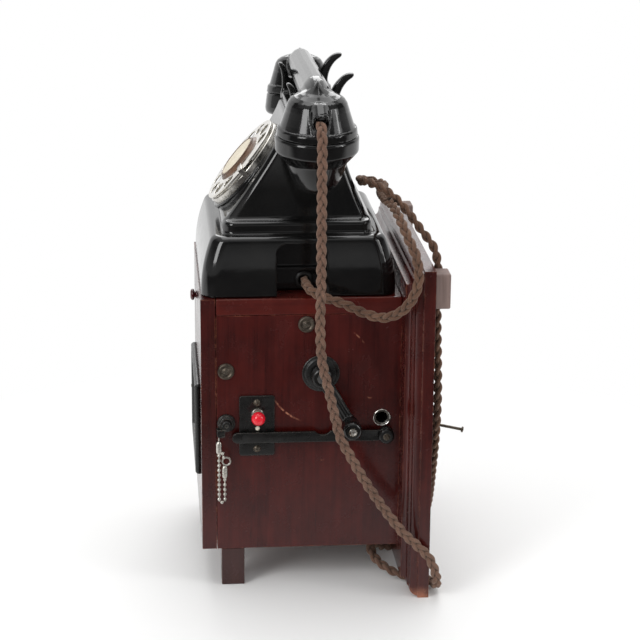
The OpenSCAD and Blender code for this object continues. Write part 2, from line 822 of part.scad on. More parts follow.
module number_plate() {
    color([0.90, 0.88, 0.80]) in_dial() translate([0, 0, number_z]) difference() {
        cylinder(r = well_r - seat_gap, h = number_t);
        translate([0, 0, -1]) cylinder(r = dial_shaft_r + 2, h = number_t + 2);
    }
}

plate_inset = 0.5;

// Finger holes run from one to nought round the left of the dial
function finger_angle(k) = 58 + 30 * k;

module finger_plate() {
    hub_z = number_z - 24;
    color(nickel) in_dial() difference() {
        union() {
            translate([0, 0, plate_front - finger_plate_t])
                cylinder(r = dial_r - plate_inset, h = finger_plate_t);
            translate([0, 0, plate_front - eps])
                cylinder(r1 = label_r + 4, r2 = label_r + 2, h = label_lift + eps);
            translate([0, 0, hub_z]) cylinder(r = dial_shaft_r, h = plate_front - hub_z);
            translate([0, 0, number_z + number_t + 0.5])
                cylinder(r = dial_shaft_r + 3, h = plate_front - number_z - number_t - 0.5);
        }
        for (k = [0:9]) rotate([0, 0, finger_angle(k)]) translate([finger_ring_r, 0, -20])
            cylinder(r = finger_hole_r, h = 30);
    }
}

module dial_label() {
    color([0.88, 0.84, 0.70]) in_dial() translate([0, 0, plate_front + label_lift + seat_gap / 4]) union() {
        cylinder(r = label_r, h = 0.8);
        difference() {
            cylinder(r = label_r + 1.5, h = 1.3);
            translate([0, 0, -1]) cylinder(r = label_r - eps, h = 4);
        }
    }
}

// The stop stands on the rim of the case and reaches in over the finger plate
module finger_stop() {
    stop_angle = -2;
    inner = finger_ring_r - 5;
    post = dial_r + seat_gap + 0.3;
    under = plate_front + 0.5;
    color(nickel) in_dial() rotate([0, 0, stop_angle]) union() {
        translate([inner, -2.5, under]) cube([post + 1.8 - inner, 5, 1.3]);
        translate([post, -2.5, -5]) cube([1.8, 5, 5 + under + 1.3]);
    }
}

module dial_mechanism() {
    top = number_z - 1;
    color(brass) in_dial() difference() {
        union() {
            translate([0, 0, top - 2]) cylinder(r = well_r - seat_gap, h = 2);
            translate([0, 0, top - 22]) cylinder(r = 8, h = 22);
            translate([0, 0, top - 10]) cylinder(r = 26, h = 4);
            translate([16, 8, top - 22]) cylinder(r = 9, h = 20);
            translate([-18, -6, top - 20]) cylinder(r = 7, h = 18);
            translate([-15, 12, top - 20]) cube([12, 14, 18]);
        }
        translate([0, 0, top - 30]) cylinder(r = dial_shaft_r + running_fit, h = 40);
    }
}

// ---------- handset ----------

// Outline of one domed end: x is the radius, y the height above the cap
module dome_outline(r, h) {
    difference() {
        polygon([[0, 0], [r - 1.5, 0], [r - 1.2, 1], [r - 2.2, 6.4], [r - 4, 7.6], [r * 0.86, 9.5],
            [r * 0.80, 15], [r * 0.74, 21], [r * 0.68, 25.5], [r * 0.6, h - 3.5], [r * 0.46, h - 0.8],
            [r * 0.34, h], [0, h]]);
        translate([-1, -1]) square([cup_r_in + 1, cup_h + 1]);
    }
}

// What stands at one end of the handset, about the middle of the top of its cap
module at_end(s) {
    translate([s * end_x, handset_y, cap_top]) rotate([0, s * end_lean, 0]) children();
}

module handle_slice(x, w, z0, z1) {
    h = z1 - z0;
    translate([x, handset_y, 0]) rotate([90, 0, 90]) linear_extrude(eps) polygon([
        [-w * 0.26, z0], [w * 0.26, z0], [w * 0.42, z0 + h * 0.1], [w * 0.5, z0 + h * 0.32],
        [w * 0.48, z0 + h * 0.52], [w * 0.37, z0 + h * 0.76], [w * 0.2, z0 + h * 0.94], [0, z1],
        [-w * 0.2, z0 + h * 0.94], [-w * 0.37, z0 + h * 0.76], [-w * 0.48, z0 + h * 0.52],
        [-w * 0.5, z0 + h * 0.32], [-w * 0.42, z0 + h * 0.1]]);
}

module handset_handle() {
    color(bakelite) difference() {
        handset_body(handle_bottom + handle_h);
        on_gland() translate([0, 0, -gland_l - face_gap]) cylinder(r = gland_r + eps, h = 30);
        at_end(1) translate([0, 0, -1]) cylinder(r = cup_r_in, h = cup_h + 1);
    }
}

module handset_body(top) {
    reach = end_x - 11;
    union() {
        for (s = [-1, 1]) at_end(s) rotate_extrude()
            dome_outline(s > 0 ? transmitter_r : receiver_r + 1, dome_h);
        hull() {
            handle_slice(-reach, handle_w * 0.9, handle_bottom, top - 1);
            handle_slice(reach, handle_w * 0.9, handle_bottom, top - 1);
            for (x = [-fork_x, fork_x]) handle_slice(x, handle_w, handle_bottom, top);
        }
        // The ridge runs down over each end
        for (s = [-1, 1]) hull() {
            handle_slice(s * (reach - 6), handle_w * 0.86, handle_bottom + 3, top - 1);
            handle_slice(s * reach, handle_w * 0.4, cap_top + dome_h - 8, top);
            handle_slice(s * (end_x + 3), handle_w * 0.7, cap_top + dome_h - 8, cap_top + dome_h + 4);
        }
        // The hood that the cord comes out of
        hull() {
            on_gland() translate([0, 0, -gland_l - 2]) cylinder(r = gland_r + 2, h = gland_l - 1.5);
            translate([end_x + transmitter_r * 0.83, handset_y, cap_top + 8]) cylinder(r = 5, h = 12);
        }
    }
}

module transmitter_cap() {
    r = transmitter_r;
    h = transmitter_h;
    color(bakelite) at_end(1) translate([0, 0, -thread_gap]) difference() {
        rotate_extrude() polygon([
            [0, -h], [r * 0.36, -h], [r * 0.46, -h + 3], [r * 0.57, -h + 8.5], [r * 0.66, -h + 16],
            [r * 0.76, -ring_h - 8.5], [r, -ring_h], [r, -1], [r - 1, 0],
            [cup_r_in - 1, 0], [cup_r_in - 1, -ring_h + 2], [r * 0.64, -ring_h - 8],
            [r * 0.55, -h + 18], [r * 0.42, -h + 10], [r * 0.33, -h + 3], [0, -h + 3]]);
        for (k = [0:5]) rotate([0, 0, 60 * k]) translate([7.5, 0, -h - 1]) cylinder(r = 1.7, h = 6);
        translate([0, 0, -h - 1]) cylinder(r = 1.7, h = 6);
    }
}

module transmitter_capsule() {
    color(brass) at_end(1) translate([0, 0, 3 - ring_h]) union() {
        cylinder(r = cup_r_in - 1 - face_gap, h = ring_h);
        cylinder(r = 12, h = ring_h + 5);
    }
}

module receiver_cap() {
    r = receiver_r;
    h = receiver_h;
    color(bakelite) at_end(-1) translate([0, 0, -thread_gap]) difference() {
        rotate_extrude() polygon([
            [0, -h + 2], [r * 0.5, -h + 2], [r * 0.8, -h], [r - 0.5, -h + 0.5], [r + 1.2, -h + 3],
            [r + 1.5, -h + 6], [r, -1], [r - 0.5, 0], [cup_r_in - 1, 0], [cup_r_in - 1, -h + 5],
            [0, -h + 5]]);
        for (k = [0:5]) rotate([0, 0, 60 * k]) translate([9, 0, -h - 1]) cylinder(r = 2, h = 8);
        translate([0, 0, -h - 1]) cylinder(r = 2, h = 8);
    }
}

module receiver_capsule() {
    color(steel) at_end(-1) translate([0, 0, 5.2 - receiver_h]) union() {
        cylinder(r = cup_r_in - 1 - face_gap, h = receiver_h - 2);
        cylinder(r = 12, h = receiver_h + 3);
    }
}

// The sleeve where the cord leaves the outer side of the transmitter end
module on_gland() {
    translate(gland_out) rotate([0, 90 + gland_tilt, 0]) children();
}

module handset_gland() {
    color(black_metal) on_gland() translate([0, 0, -gland_l]) difference() {
        cylinder(r = gland_r, h = gland_l);
        translate([0, 0, -1]) cylinder(r = cord_r - 1, h = gland_l);
    }
}

// ---------- cord bushes ----------

module bush(neck) {
    difference() {
        union() {
            cylinder(r = flange_r, h = bush_flange);
            translate([0, 0, -neck]) cylinder(r = cord_r + 1.55, h = neck + eps);
        }
        translate([0, 0, -neck - 1]) cylinder(r = cord_r - 0.6, h = neck + 1);
    }
}

// One in the case's finger recess and two in the bottom board
module cord_bushes() {
    color(bakelite) {
        translate(recess_bush_at) rotate([0, 90, 0]) bush(case_wall - 1);
        for (p = [handset_bush_at, line_bush_at]) translate(p) rotate([180, 0, 0]) bush(bottom_t);
    }
}

// ---------- hand crank and generator ----------

module escutcheon() {
    color(black_metal) difference() {
        translate([side_x, crank_y, crank_z]) rotate([0, 90, 0]) rotate_extrude() polygon([
            [bush_r + 0.1, 0], [escutcheon_r, 0], [escutcheon_r, 1.2],
            [escutcheon_r - 3, escutcheon_t], [bush_r + 0.1, escutcheon_t]]);
    }
}

module crank_bush() {
    color(brass) difference() {
        rod_x([inner_x - 2, crank_y, crank_z], bush_r, side_t + 2 + escutcheon_t);
        rod_x([inner_x - 3, crank_y, crank_z], crank_shaft_r + running_fit, side_t + 4 + escutcheon_t);
    }
}

module crank_shaft() {
    inside = frame_x - 4;
    color(steel) union() {
        rod_x([inside, crank_y, crank_z], crank_shaft_r, arm_x + arm_t + 2 - inside);
        translate([gear_x, crank_y, crank_z]) rotate([90, 0, 90]) linear_extrude(gear_t)
            spur(gear_teeth, 0.25);
    }
}

// Crank frame: +Y runs from the shaft to the knob
module in_crank() {
    translate([0, crank_y, crank_z]) rotate([crank_angle - 90, 0, 0]) children();
}

module crank_arm() {
    color(black_metal) in_crank() difference() {
        union() {
            rod_x([arm_x - 3, 0, 0], crank_shaft_r + 4.5, arm_t + 5);
            translate([arm_x, 0, 0]) rotate([90, 0, 90]) linear_extrude(arm_t)
                polygon([[0, -5.5], [crank_r, -4.5], [crank_r + 4.5, 0], [crank_r, 4.5], [0, 5.5]]);
            rod_x([arm_x, crank_r, 0], 5.5, arm_t + 1);
        }
        rod_x([arm_x - 4, 0, 0], crank_shaft_r + eps, arm_t + 10);
        rod_x([arm_x - 4, crank_r, 0], 2 + eps, arm_t + 10);
    }
}

module knob_spindle() {
    color(steel) in_crank() union() {
        rod_x([arm_x, crank_r, 0], 2, arm_t + knob_l + 2.5);
        rod_x([arm_x + arm_t + knob_l + 1.5, crank_r, 0], 3.5, 1);
    }
}

module crank_knob() {
    color(bakelite) in_crank() difference() {
        translate([arm_x + arm_t + 1.3, crank_r, 0]) rotate([0, 90, 0]) rotate_extrude() polygon([
            [2 + running_fit, 0], [knob_r - 2, 0], [knob_r - 1.2, 1.5], [knob_r - 1.4, 5],
            [knob_r - 0.6, 10], [knob_r, knob_l - 5], [knob_r - 0.6, knob_l - 1.5],
            [knob_r - 2.5, knob_l], [2 + running_fit, knob_l]]);
    }
}

module generator_shelf() {
    z1 = armature_z - pole_w / 2 + 4;
    x0 = frame_x - armature_l - 2 * shelf_t;
    color(wood_red) box([x0, crank_y - magnet_half - shelf_t, z1 - shelf_t], [inner_x, box_back, z1]);
}

module generator_frame() {
    z0 = armature_z - pole_w / 2 + 4;
    x0 = frame_x - armature_l - frame_t - 4;
    cheek = pole_w / 2 - 5;
    boss_h = 3 * crank_shaft_r;
    color(brass) difference() {
        union() {
            box([x0, crank_y - magnet_half, z0], [frame_x + frame_t, crank_y + magnet_half, z0 + sole_t]);
            box([frame_x, crank_y - cheek, z0], [frame_x + frame_t, crank_y + cheek, crank_z + boss_h]);
            box([x0, crank_y - cheek, z0], [x0 + frame_t, crank_y + cheek, crank_z - boss_h]);
            box([frame_x - armature_l - 1, crank_y - pole_w / 2, z0],
                [frame_x - 3, crank_y + pole_w / 2, armature_z + pole_w / 2 - 8]);
        }
        rod_x([frame_x - 1, crank_y, crank_z], crank_shaft_r + running_fit, frame_t + 2);
        rod_x([x0 - 1, crank_y, armature_z], 3 + running_fit, frame_x - x0 + frame_t + 2);
        rod_x([frame_x - armature_l - 2, crank_y, armature_z], armature_r + 0.6, armature_l);
    }
}

module generator_magnets() {
    z0 = armature_z - pole_w / 2 + 4 + sole_t;
    h = armature_z + pole_w / 2 - 2 - z0;
    w = pole_w / 2 + magnet_gap;
    pitch = 15;
    color([0.35, 0.05, 0.05]) for (k = [0:2])
        translate([frame_x - 16 - k * pitch, crank_y, z0 + eps]) rotate([90, 0, 90])
        linear_extrude(12) difference() {
            union() {
                translate([-w - magnet_t, 0]) square([2 * (w + magnet_t), h]);
                translate([0, h]) circle(w + magnet_t);
            }
            translate([-w, -1]) square([2 * w, h + 1]);
            translate([0, h]) circle(w);
        }
}

module armature() {
    x0 = frame_x - armature_l + 0.5;
    color(steel) union() {
        rod_x([x0, crank_y, armature_z], armature_r, armature_l - 6);
        rod_x([frame_x - armature_l - 9, crank_y, armature_z], 3, armature_l + 17 + gear_t + 2);
        translate([gear_x, crank_y, armature_z]) rotate([90, 0, 90])
            linear_extrude(gear_t) rotate([0, 0, 90 + 180 / pinion_teeth])
            spur(pinion_teeth, 0.25);
    }
}

// ---------- fittings on the right side ----------

module dome_screw(y, z, x, r) {
    rod_x([x - 7, y, z], 1.2, 7);
    intersection() {
        translate([x - r * 1.2, y, z]) sphere(r * 1.562);
        rod_x([x, y, z], r, r);
    }
}

module button_plate() {
    color(black_metal) difference() {
        union() {
            box([side_x, plate_y - plate_w / 2, plate_z - plate_h / 2],
                [side_x + plate_t, plate_y + plate_w / 2, plate_z + plate_h / 2]);
            rod_x([side_x, button_y, button_z], stem_r + 2.2, plate_t + 1.2);
        }
        rod_x([side_x - 1, button_y, button_z], stem_r + running_fit, plate_t + 4);
        for (j = [-1, 1])
            rod_x([side_x - 1, plate_y, plate_z + j * (plate_h / 2 - 6)], 1.25, plate_t + 2);
    }
}

module button_cap() {
    out = side_x + plate_t + 1.2 + button_travel + 0.6;
    color([0.80, 0.03, 0.06]) union() {
        translate([out + button_r - 0.8, button_y, button_z]) sphere(button_r);
        rod_x([inner_x - 6, button_y, button_z], stem_r, out + 1 - inner_x + 6);
        rod_x([inner_x - 4, button_y, button_z], stem_r + 2, 3);
    }
}

module button_contacts() {
    x1 = inner_x - 6 - button_travel - 0.4;
    color([0.30, 0.20, 0.12]) union() {
        box([inner_x - 20, button_y + 8, button_z - 9], [inner_x, button_y + 22, button_z + 9]);
        box([x1 - 1, button_y - 10, button_z - 4], [x1, button_y + 9, button_z + 4]);
        box([x1 - 4, button_y - 8, button_z - 4], [x1 - 3, button_y + 9, button_z + 4]);
    }
}

module lock_bar() {
    notch_y = crank_y + 1.5;
    notch_r = 8.5;
    color(black_metal) difference() {
        translate([bar_x, 0, bar_pivot_z]) rotate([90, 0, 90]) linear_extrude(bar_t) union() {
            translate([bar_pivot_y - bar_l + bar_w / 2, -bar_w / 2])
                square([bar_l - bar_w / 2, bar_w]);
            translate([bar_pivot_y - bar_l + bar_w / 2, 0]) circle(bar_w / 2);
            translate([bar_pivot_y, 0]) circle(bar_w / 2 + 2);
        }
        rod_x([bar_x - 1, bar_pivot_y, bar_pivot_z], 3 + running_fit, bar_t + 2);
        rod_x([bar_x - 1, notch_y, bar_pivot_z + bar_w / 2 + notch_r - 3], notch_r, bar_t + 2);
    }
}

module bar_pivot() {
    color(black_metal) union() {
        rod_x([side_x - 8, bar_pivot_y, bar_pivot_z], 2, 9);
        rod_x([side_x, bar_pivot_y, bar_pivot_z], 6, bar_x - side_x - face_gap);
        rod_x([side_x, bar_pivot_y, bar_pivot_z], 3, bar_x - side_x + bar_t + 1);
        rod_x([bar_x + bar_t + face_gap, bar_pivot_y, bar_pivot_z], 6.5, 4);
    }
}

module eyelet_ring() {
    color(nickel) translate([side_x, eyelet_y, eyelet_z]) rotate([0, 90, 0]) rotate_extrude()
        polygon([[eyelet_r - 2.6, -side_t], [eyelet_r - 2, -side_t], [eyelet_r - 2, 0],
            [eyelet_r, 0], [eyelet_r - 0.6, 0.9], [eyelet_r - 2, 1.2], [eyelet_r - 2.6, 0.6]]);
}

module chain_keeper() {
    color(black_metal) difference() {
        union() {
            rod_x([side_x - 8, keeper_y, keeper_z], 2, 9);
            translate([side_x, keeper_y, keeper_z]) rotate([0, 90, 0]) rotate_extrude() polygon([
                [0, 0], [keeper_r, 0], [keeper_r, 2.5], [keeper_r - 2, 4.5], [keeper_r - 3, keeper_l - 2],
                [keeper_r - 4, keeper_l], [0, keeper_l]]);
            box([side_x + 3, chain_y - 1.3, keeper_z - 9.5], [chain_x + 1, keeper_y - 1.4, keeper_z - 3]);
        }
        rod_x([side_x + 2, keeper_y - 2.9, keeper_z - 7.6], 0.6, chain_x - side_x);
    }
}

// A straight strand of n beads hanging from a point, with a thin wire between them
module strand(at, n) {
    pitch = 2.65 * bead_r;
    wire_r = 0.5;
    turn = acos(wire_r / bead_r);
    translate(at) rotate_extrude($fn = 24) polygon(concat([[0, 0]],
        [for (k = [0:n - 1], q = [-turn:turn / 3:turn + eps])
            [bead_r * cos(q), -pitch * k - bead_r + wire_r - bead_r * sin(q)]],
        [[0, -pitch * (n - 1) - 2 * bead_r + wire_r]]));
}

// A round-ended sleeve that holds the last bead of a strand
module connector(at, l) {
    r = bead_r + 0.5;
    translate(at) rotate_extrude($fn = 24) polygon([[0, 0], [r * 0.7, 0], [r, r],
        [r, l - r], [r * 0.7, l], [0, l]]);
}

module ball_chain() {
    clip = 11;
    long_n = 10;
    short_n = 5;
    pitch = 2.65 * bead_r;
    gap = 2.9 * bead_r;
    y0 = chain_y;
    z0 = keeper_z - 24;
    z1 = z0 - pitch * (long_n - short_n);
    bottom = z0 - pitch * long_n + bead_r / 2;
    color(nickel) {
        strand([chain_x, y0, z0], long_n);
        strand([chain_x, y0 + gap, z1], short_n);
        translate([chain_x, y0 + gap / 2, bottom - 0.5]) sphere(bead_r, $fn = 24);
        connector([chain_x, y0, z0 + seat_gap], clip);
        connector([chain_x, y0 + gap, z1 + seat_gap], clip);
        translate([chain_x, y0, z0 + clip + 2 * seat_gap])
            cylinder(r = 0.6, h = 24 - 9.5 - clip - 3 * seat_gap, $fn = 24);
        translate([chain_x, y0 + gap, z1 + clip + 2 * seat_gap + 3.2]) rotate([0, 90, 0])
            rotate_extrude($fn = 24) translate([2.6, 0]) circle(0.6, $fn = 16);
        translate([chain_x, y0 + gap - 0.8, z1 + clip + 6.4 + 3 * seat_gap]) rotate([14, 0, 0])
            strand([0, 0, 2 * bead_r + pitch - 0.5], 2);
    }
}

module cup_screw(y, z) {
    translate([side_x, y, z]) rotate([0, 90, 0]) rotate_extrude() polygon([
        [0, -side_t], [1.6, -side_t], [1.6, 0], [cup_r, 0], [cup_r - 0.4, 1.2], [cup_r - 2, 2.4],
        [cup_r - 3.2, 1.6], [cup_r - 3.4, 2.2], [1.5, 2.9], [0, 3]]);
}

module panel_screws() {
    color([0.25, 0.20, 0.18]) union() {
        for (p = screw_places) cup_screw(p[0], p[1]);
        for (j = [-1, 1]) dome_screw(plate_y, plate_z + j * (plate_h / 2 - 6), side_x + plate_t, 3.2);
    }
}

// ---------- ringer and cells ----------

module bell_gongs() {
    z = panel_top - ringer_t - gong_drop;
    color(nickel) for (s = [-1, 1])
        translate([ringer_x, ringer_y + s * gong_pitch / 2, z - gong_h]) difference() {
            rotate_extrude() polygon([
                [2.1, gong_h - 2], [2.1, gong_h], [gong_r * 0.35, gong_h], [gong_r * 0.8, gong_h * 0.72],
                [gong_r * 0.96, gong_h * 0.4], [gong_r, 0], [gong_r - 2, 0],
                [gong_r * 0.96 - 2, gong_h * 0.38], [gong_r * 0.8 - 1.6, gong_h * 0.62],
                [gong_r * 0.35, gong_h - 2]]);
        }
}

module ringer_frame() {
    z = panel_top - ringer_t;
    gong_z = z - gong_drop - gong_h;
    yoke_z = z - coil_l + 8;
    color(steel) union() {
        box([ringer_x - 18, ringer_y - gong_pitch / 2 - 10, z],
            [ringer_x + 18, ringer_y + gong_pitch / 2 + 10, panel_top]);
        for (s = [-1, 1]) translate([ringer_x, ringer_y + s * gong_pitch / 2, gong_z]) union() {
            translate([0, 0, gong_h - 5]) cylinder(r = 2, h = z - gong_z - gong_h + 5);
            translate([0, 0, gong_h - 5]) cylinder(r = 4, h = 3 - seat_gap);
            translate([0, 0, gong_h + seat_gap]) cylinder(r = 4, h = gong_drop - seat_gap);
        }
        for (s = [-1, 1]) translate([ringer_x + s * (coil_r + 0.3), ringer_y, yoke_z])
            cylinder(r = coil_r - 3, h = coil_l - 8);
        translate([ringer_x - 19, ringer_y - 4, yoke_z]) cube([38, 8, 3]);
        for (s = [-1, 1]) translate([ringer_x + s * 17.5 - 1.5, ringer_y - 4, panel_top - clapper_drop - 2])
            cube([3, 8, clapper_drop - ringer_t - coil_l + 12]);
        rod_x([ringer_x - 18, ringer_y, panel_top - clapper_drop], clapper_pin_r, 36);
    }
}

module ringer_coils() {
    z = panel_top - ringer_t - coil_l + 11.2;
    color([0.1, 0.35, 0.12]) for (s = [-1, 1])
        translate([ringer_x + s * (coil_r + 0.3), ringer_y, z]) difference() {
            cylinder(r = coil_r, h = coil_l - 11.4);
            translate([0, 0, -1]) cylinder(r = coil_r - 3 + running_fit, h = coil_l);
        }
}

module bell_clapper() {
    z = panel_top - clapper_drop;
    ball_z = panel_top - ringer_t - gong_drop - gong_h + clapper_r;
    color(brass) union() {
        difference() {
            translate([ringer_x - 14, ringer_y - 3.5, z - 1.5]) cube([28, 7, 3]);
            rod_x([ringer_x - 20, ringer_y, z], clapper_pin_r + running_fit, 40);
        }
        translate([ringer_x, ringer_y, ball_z]) cylinder(r = 0.8, h = z - 1.5 - ball_z + eps);
        translate([ringer_x, ringer_y, ball_z]) sphere(clapper_r);
    }
}

module condenser() {
    color([0.55, 0.56, 0.58]) union() {
        box([2, box_back - 52, floor_z], [42, box_back - 6, floor_z + 40]);
        for (s = [-1, 1]) translate([22 + s * 10, box_back - 29, floor_z])
            cylinder(r = 2.5, h = 46);
    }
}

module dry_cells() {
    color([0.55, 0.20, 0.08]) for (k = [0, 1])
        translate([ringer_x - 10, box_front + 36 + k * (2 * cell_r + 10), floor_z]) union() {
            cylinder(r = cell_r, h = cell_h);
            cylinder(r = 4, h = cell_h + 6);
            translate([cell_r - 8, 0, 0]) cylinder(r = 2.5, h = cell_h + 8);
        }
}

// ---------- cords ----------

module handset_cord() {
    out = [sin(90 + gland_tilt), 0, cos(90 + gland_tilt)];
    start = gland_out;
    end = handset_bush_at - [0, 0, bush_flange];
    route = concat([start, start + 4 * out], handset_route, [end - [0, 0, 5], end]);
    color([0.30, 0.20, 0.14]) tube(spline(route, 1), cord_r, [0, 1, 0]);
}

module line_cord() {
    start = recess_bush_at + [bush_flange, 0, 0];
    end = line_bush_at - [0, 0, bush_flange];
    route = concat([start, start + [5, 0, 0]], line_route, [end - [0, 0, 5], end]);
    color([0.30, 0.20, 0.14]) tube(spline(route, 1), cord_r, [0, 0, 1]);
}

side_panel_right();
side_panel_left();
top_board();
bottom_board();
front_legs();
backboard();
wall_spacers();
hanging_nail();
front_door();
notice_frame();
notice_glass();
notice_card();
door_knob();
hinge_box_leaves();
hinge_door_leaves();
phone_case();
base_plate();
cradle();
cradle_plungers();
hook_switch();
dial_bezel();
number_plate();
finger_plate();
finger_stop();
dial_label();
dial_mechanism();
handset_handle();
transmitter_cap();
transmitter_capsule();
receiver_cap();
receiver_capsule();
handset_gland();
cord_bushes();
escutcheon();
crank_bush();
crank_shaft();
crank_arm();
knob_spindle();
crank_knob();
generator_shelf();
generator_frame();
generator_magnets();
armature();
button_plate();
button_cap();
button_contacts();
lock_bar();
bar_pivot();
eyelet_ring();
chain_keeper();
ball_chain();
panel_screws();
bell_gongs();
ringer_frame();
ringer_coils();
bell_clapper();
dry_cells();
condenser();
handset_cord();
line_cord();
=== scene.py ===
"""Looks for the box telephone: shapes, finishes, floor and light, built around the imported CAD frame."""
import math

import bmesh
import bpy
import numpy as np
from mathutils import Matrix, Vector
from mathutils.geometry import tessellate_polygon


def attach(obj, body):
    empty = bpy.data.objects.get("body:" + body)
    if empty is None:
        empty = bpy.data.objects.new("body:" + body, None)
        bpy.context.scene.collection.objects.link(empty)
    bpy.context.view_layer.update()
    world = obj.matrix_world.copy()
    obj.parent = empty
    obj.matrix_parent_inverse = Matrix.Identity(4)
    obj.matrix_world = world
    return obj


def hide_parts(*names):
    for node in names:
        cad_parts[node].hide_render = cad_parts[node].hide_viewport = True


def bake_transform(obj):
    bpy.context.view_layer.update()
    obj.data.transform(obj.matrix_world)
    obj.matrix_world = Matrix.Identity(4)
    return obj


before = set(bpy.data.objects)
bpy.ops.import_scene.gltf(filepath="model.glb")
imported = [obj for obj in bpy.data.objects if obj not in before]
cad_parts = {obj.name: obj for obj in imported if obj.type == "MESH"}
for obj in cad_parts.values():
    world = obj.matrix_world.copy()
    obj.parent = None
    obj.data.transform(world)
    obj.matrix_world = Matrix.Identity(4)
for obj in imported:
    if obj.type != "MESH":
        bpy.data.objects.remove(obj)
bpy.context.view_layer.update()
scene = bpy.context.scene
MM = 0.001
PI2, QUARTER = 2 * math.pi, math.pi / 2

# ---------- places shared with the CAD source, in millimetres ----------

SIDE_X, BOX_BACK, BOARD_BACK = 92.5, 58.5, 80.5
BOARD_HALF, BOARD_TOP, ARCH_HALF, ARCH_TOP = 130, 281, 108, 13.0
BOARD_HOLE_R, BOARD_HOLES = 2.6, [(x, z) for x in (-113, 113) for z in (52, 262)]
DOOR_FRONT, NOTICE_Z, DOOR_KNOB_Z = -105.5, 127, 228
CASE_Y, SKIRT_TOP, STEP_TOP, PYRAMID_TOP = -25.0, 299.0, 309.0, 388.0
TOP_Y, PIN_X = -12.0, 20
DIAL, TILT = np.array([0.0, -67.0, 344.0]), math.radians(50.4)
CAP_TOP, END_X, LEAN = 384.9, 91.0, math.radians(5)
CRANK_Y, CRANK_Z, CRANK_ANGLE = -7.5, 186.0, math.radians(30.7)
ARM_X, CRANK_R = 101.5, 45.5
BAR_X, BAR_Y, BAR_Z, BAR_L, BAR_W, BAR_T = 96.2, 46.5, 133.0, 127.0, 9.0, 3.0
KEEPER_Y, KEEPER_Z = -85.2, 144.5
CHAIN_X, CHAIN_Y = 101.6, -91.6
PLATE_Y, PLATE_Z = -60.0, 142.0
BUTTON_Y, BUTTON_Z = -59.5, 152.0
EYELET, CUP_SCREWS = (43.5, 146.5), ((-19.5, 228), (-85.2, 189))
HOLE_R = 32.0
GLAND = np.array([127.5, TOP_Y, 398.8])
GLAND_DIR = np.array([math.cos(math.radians(30)), 0, -0.5])
RECESS_BUSH = (69.0, -20.0, 259.0)
UNDER_BUSHES = ((68, 38, 33), (50, 43, 33))

# ---------- camera ----------

F_PX, FRAME_PX, SENSOR = 2003.29, 640, 36
CAMERA_AT = (1.64209, -0.1474, 0.70469)
AZ, EL, ROLL = (math.radians(v) for v in (84.88, 16.92, 0.48))
look = Vector((-math.sin(AZ) * math.cos(EL), math.cos(AZ) * math.cos(EL), -math.sin(EL)))
right = Vector((math.cos(AZ), math.sin(AZ), 0))
up = right.cross(look)
right, up = (math.cos(ROLL) * right + math.sin(ROLL) * up, -math.sin(ROLL) * right + math.cos(ROLL) * up)
camera = bpy.data.objects.new("camera", bpy.data.cameras.new("camera"))
camera.data.sensor_width = SENSOR
camera.data.lens = F_PX / FRAME_PX * SENSOR
camera.data.clip_start, camera.data.clip_end = 0.05, 30
camera.matrix_world = Matrix.Translation(CAMERA_AT) @ Matrix((right, up, -look)).transposed().to_4x4()
scene.collection.objects.link(camera)
scene.camera = camera
# ---------- materials ----------


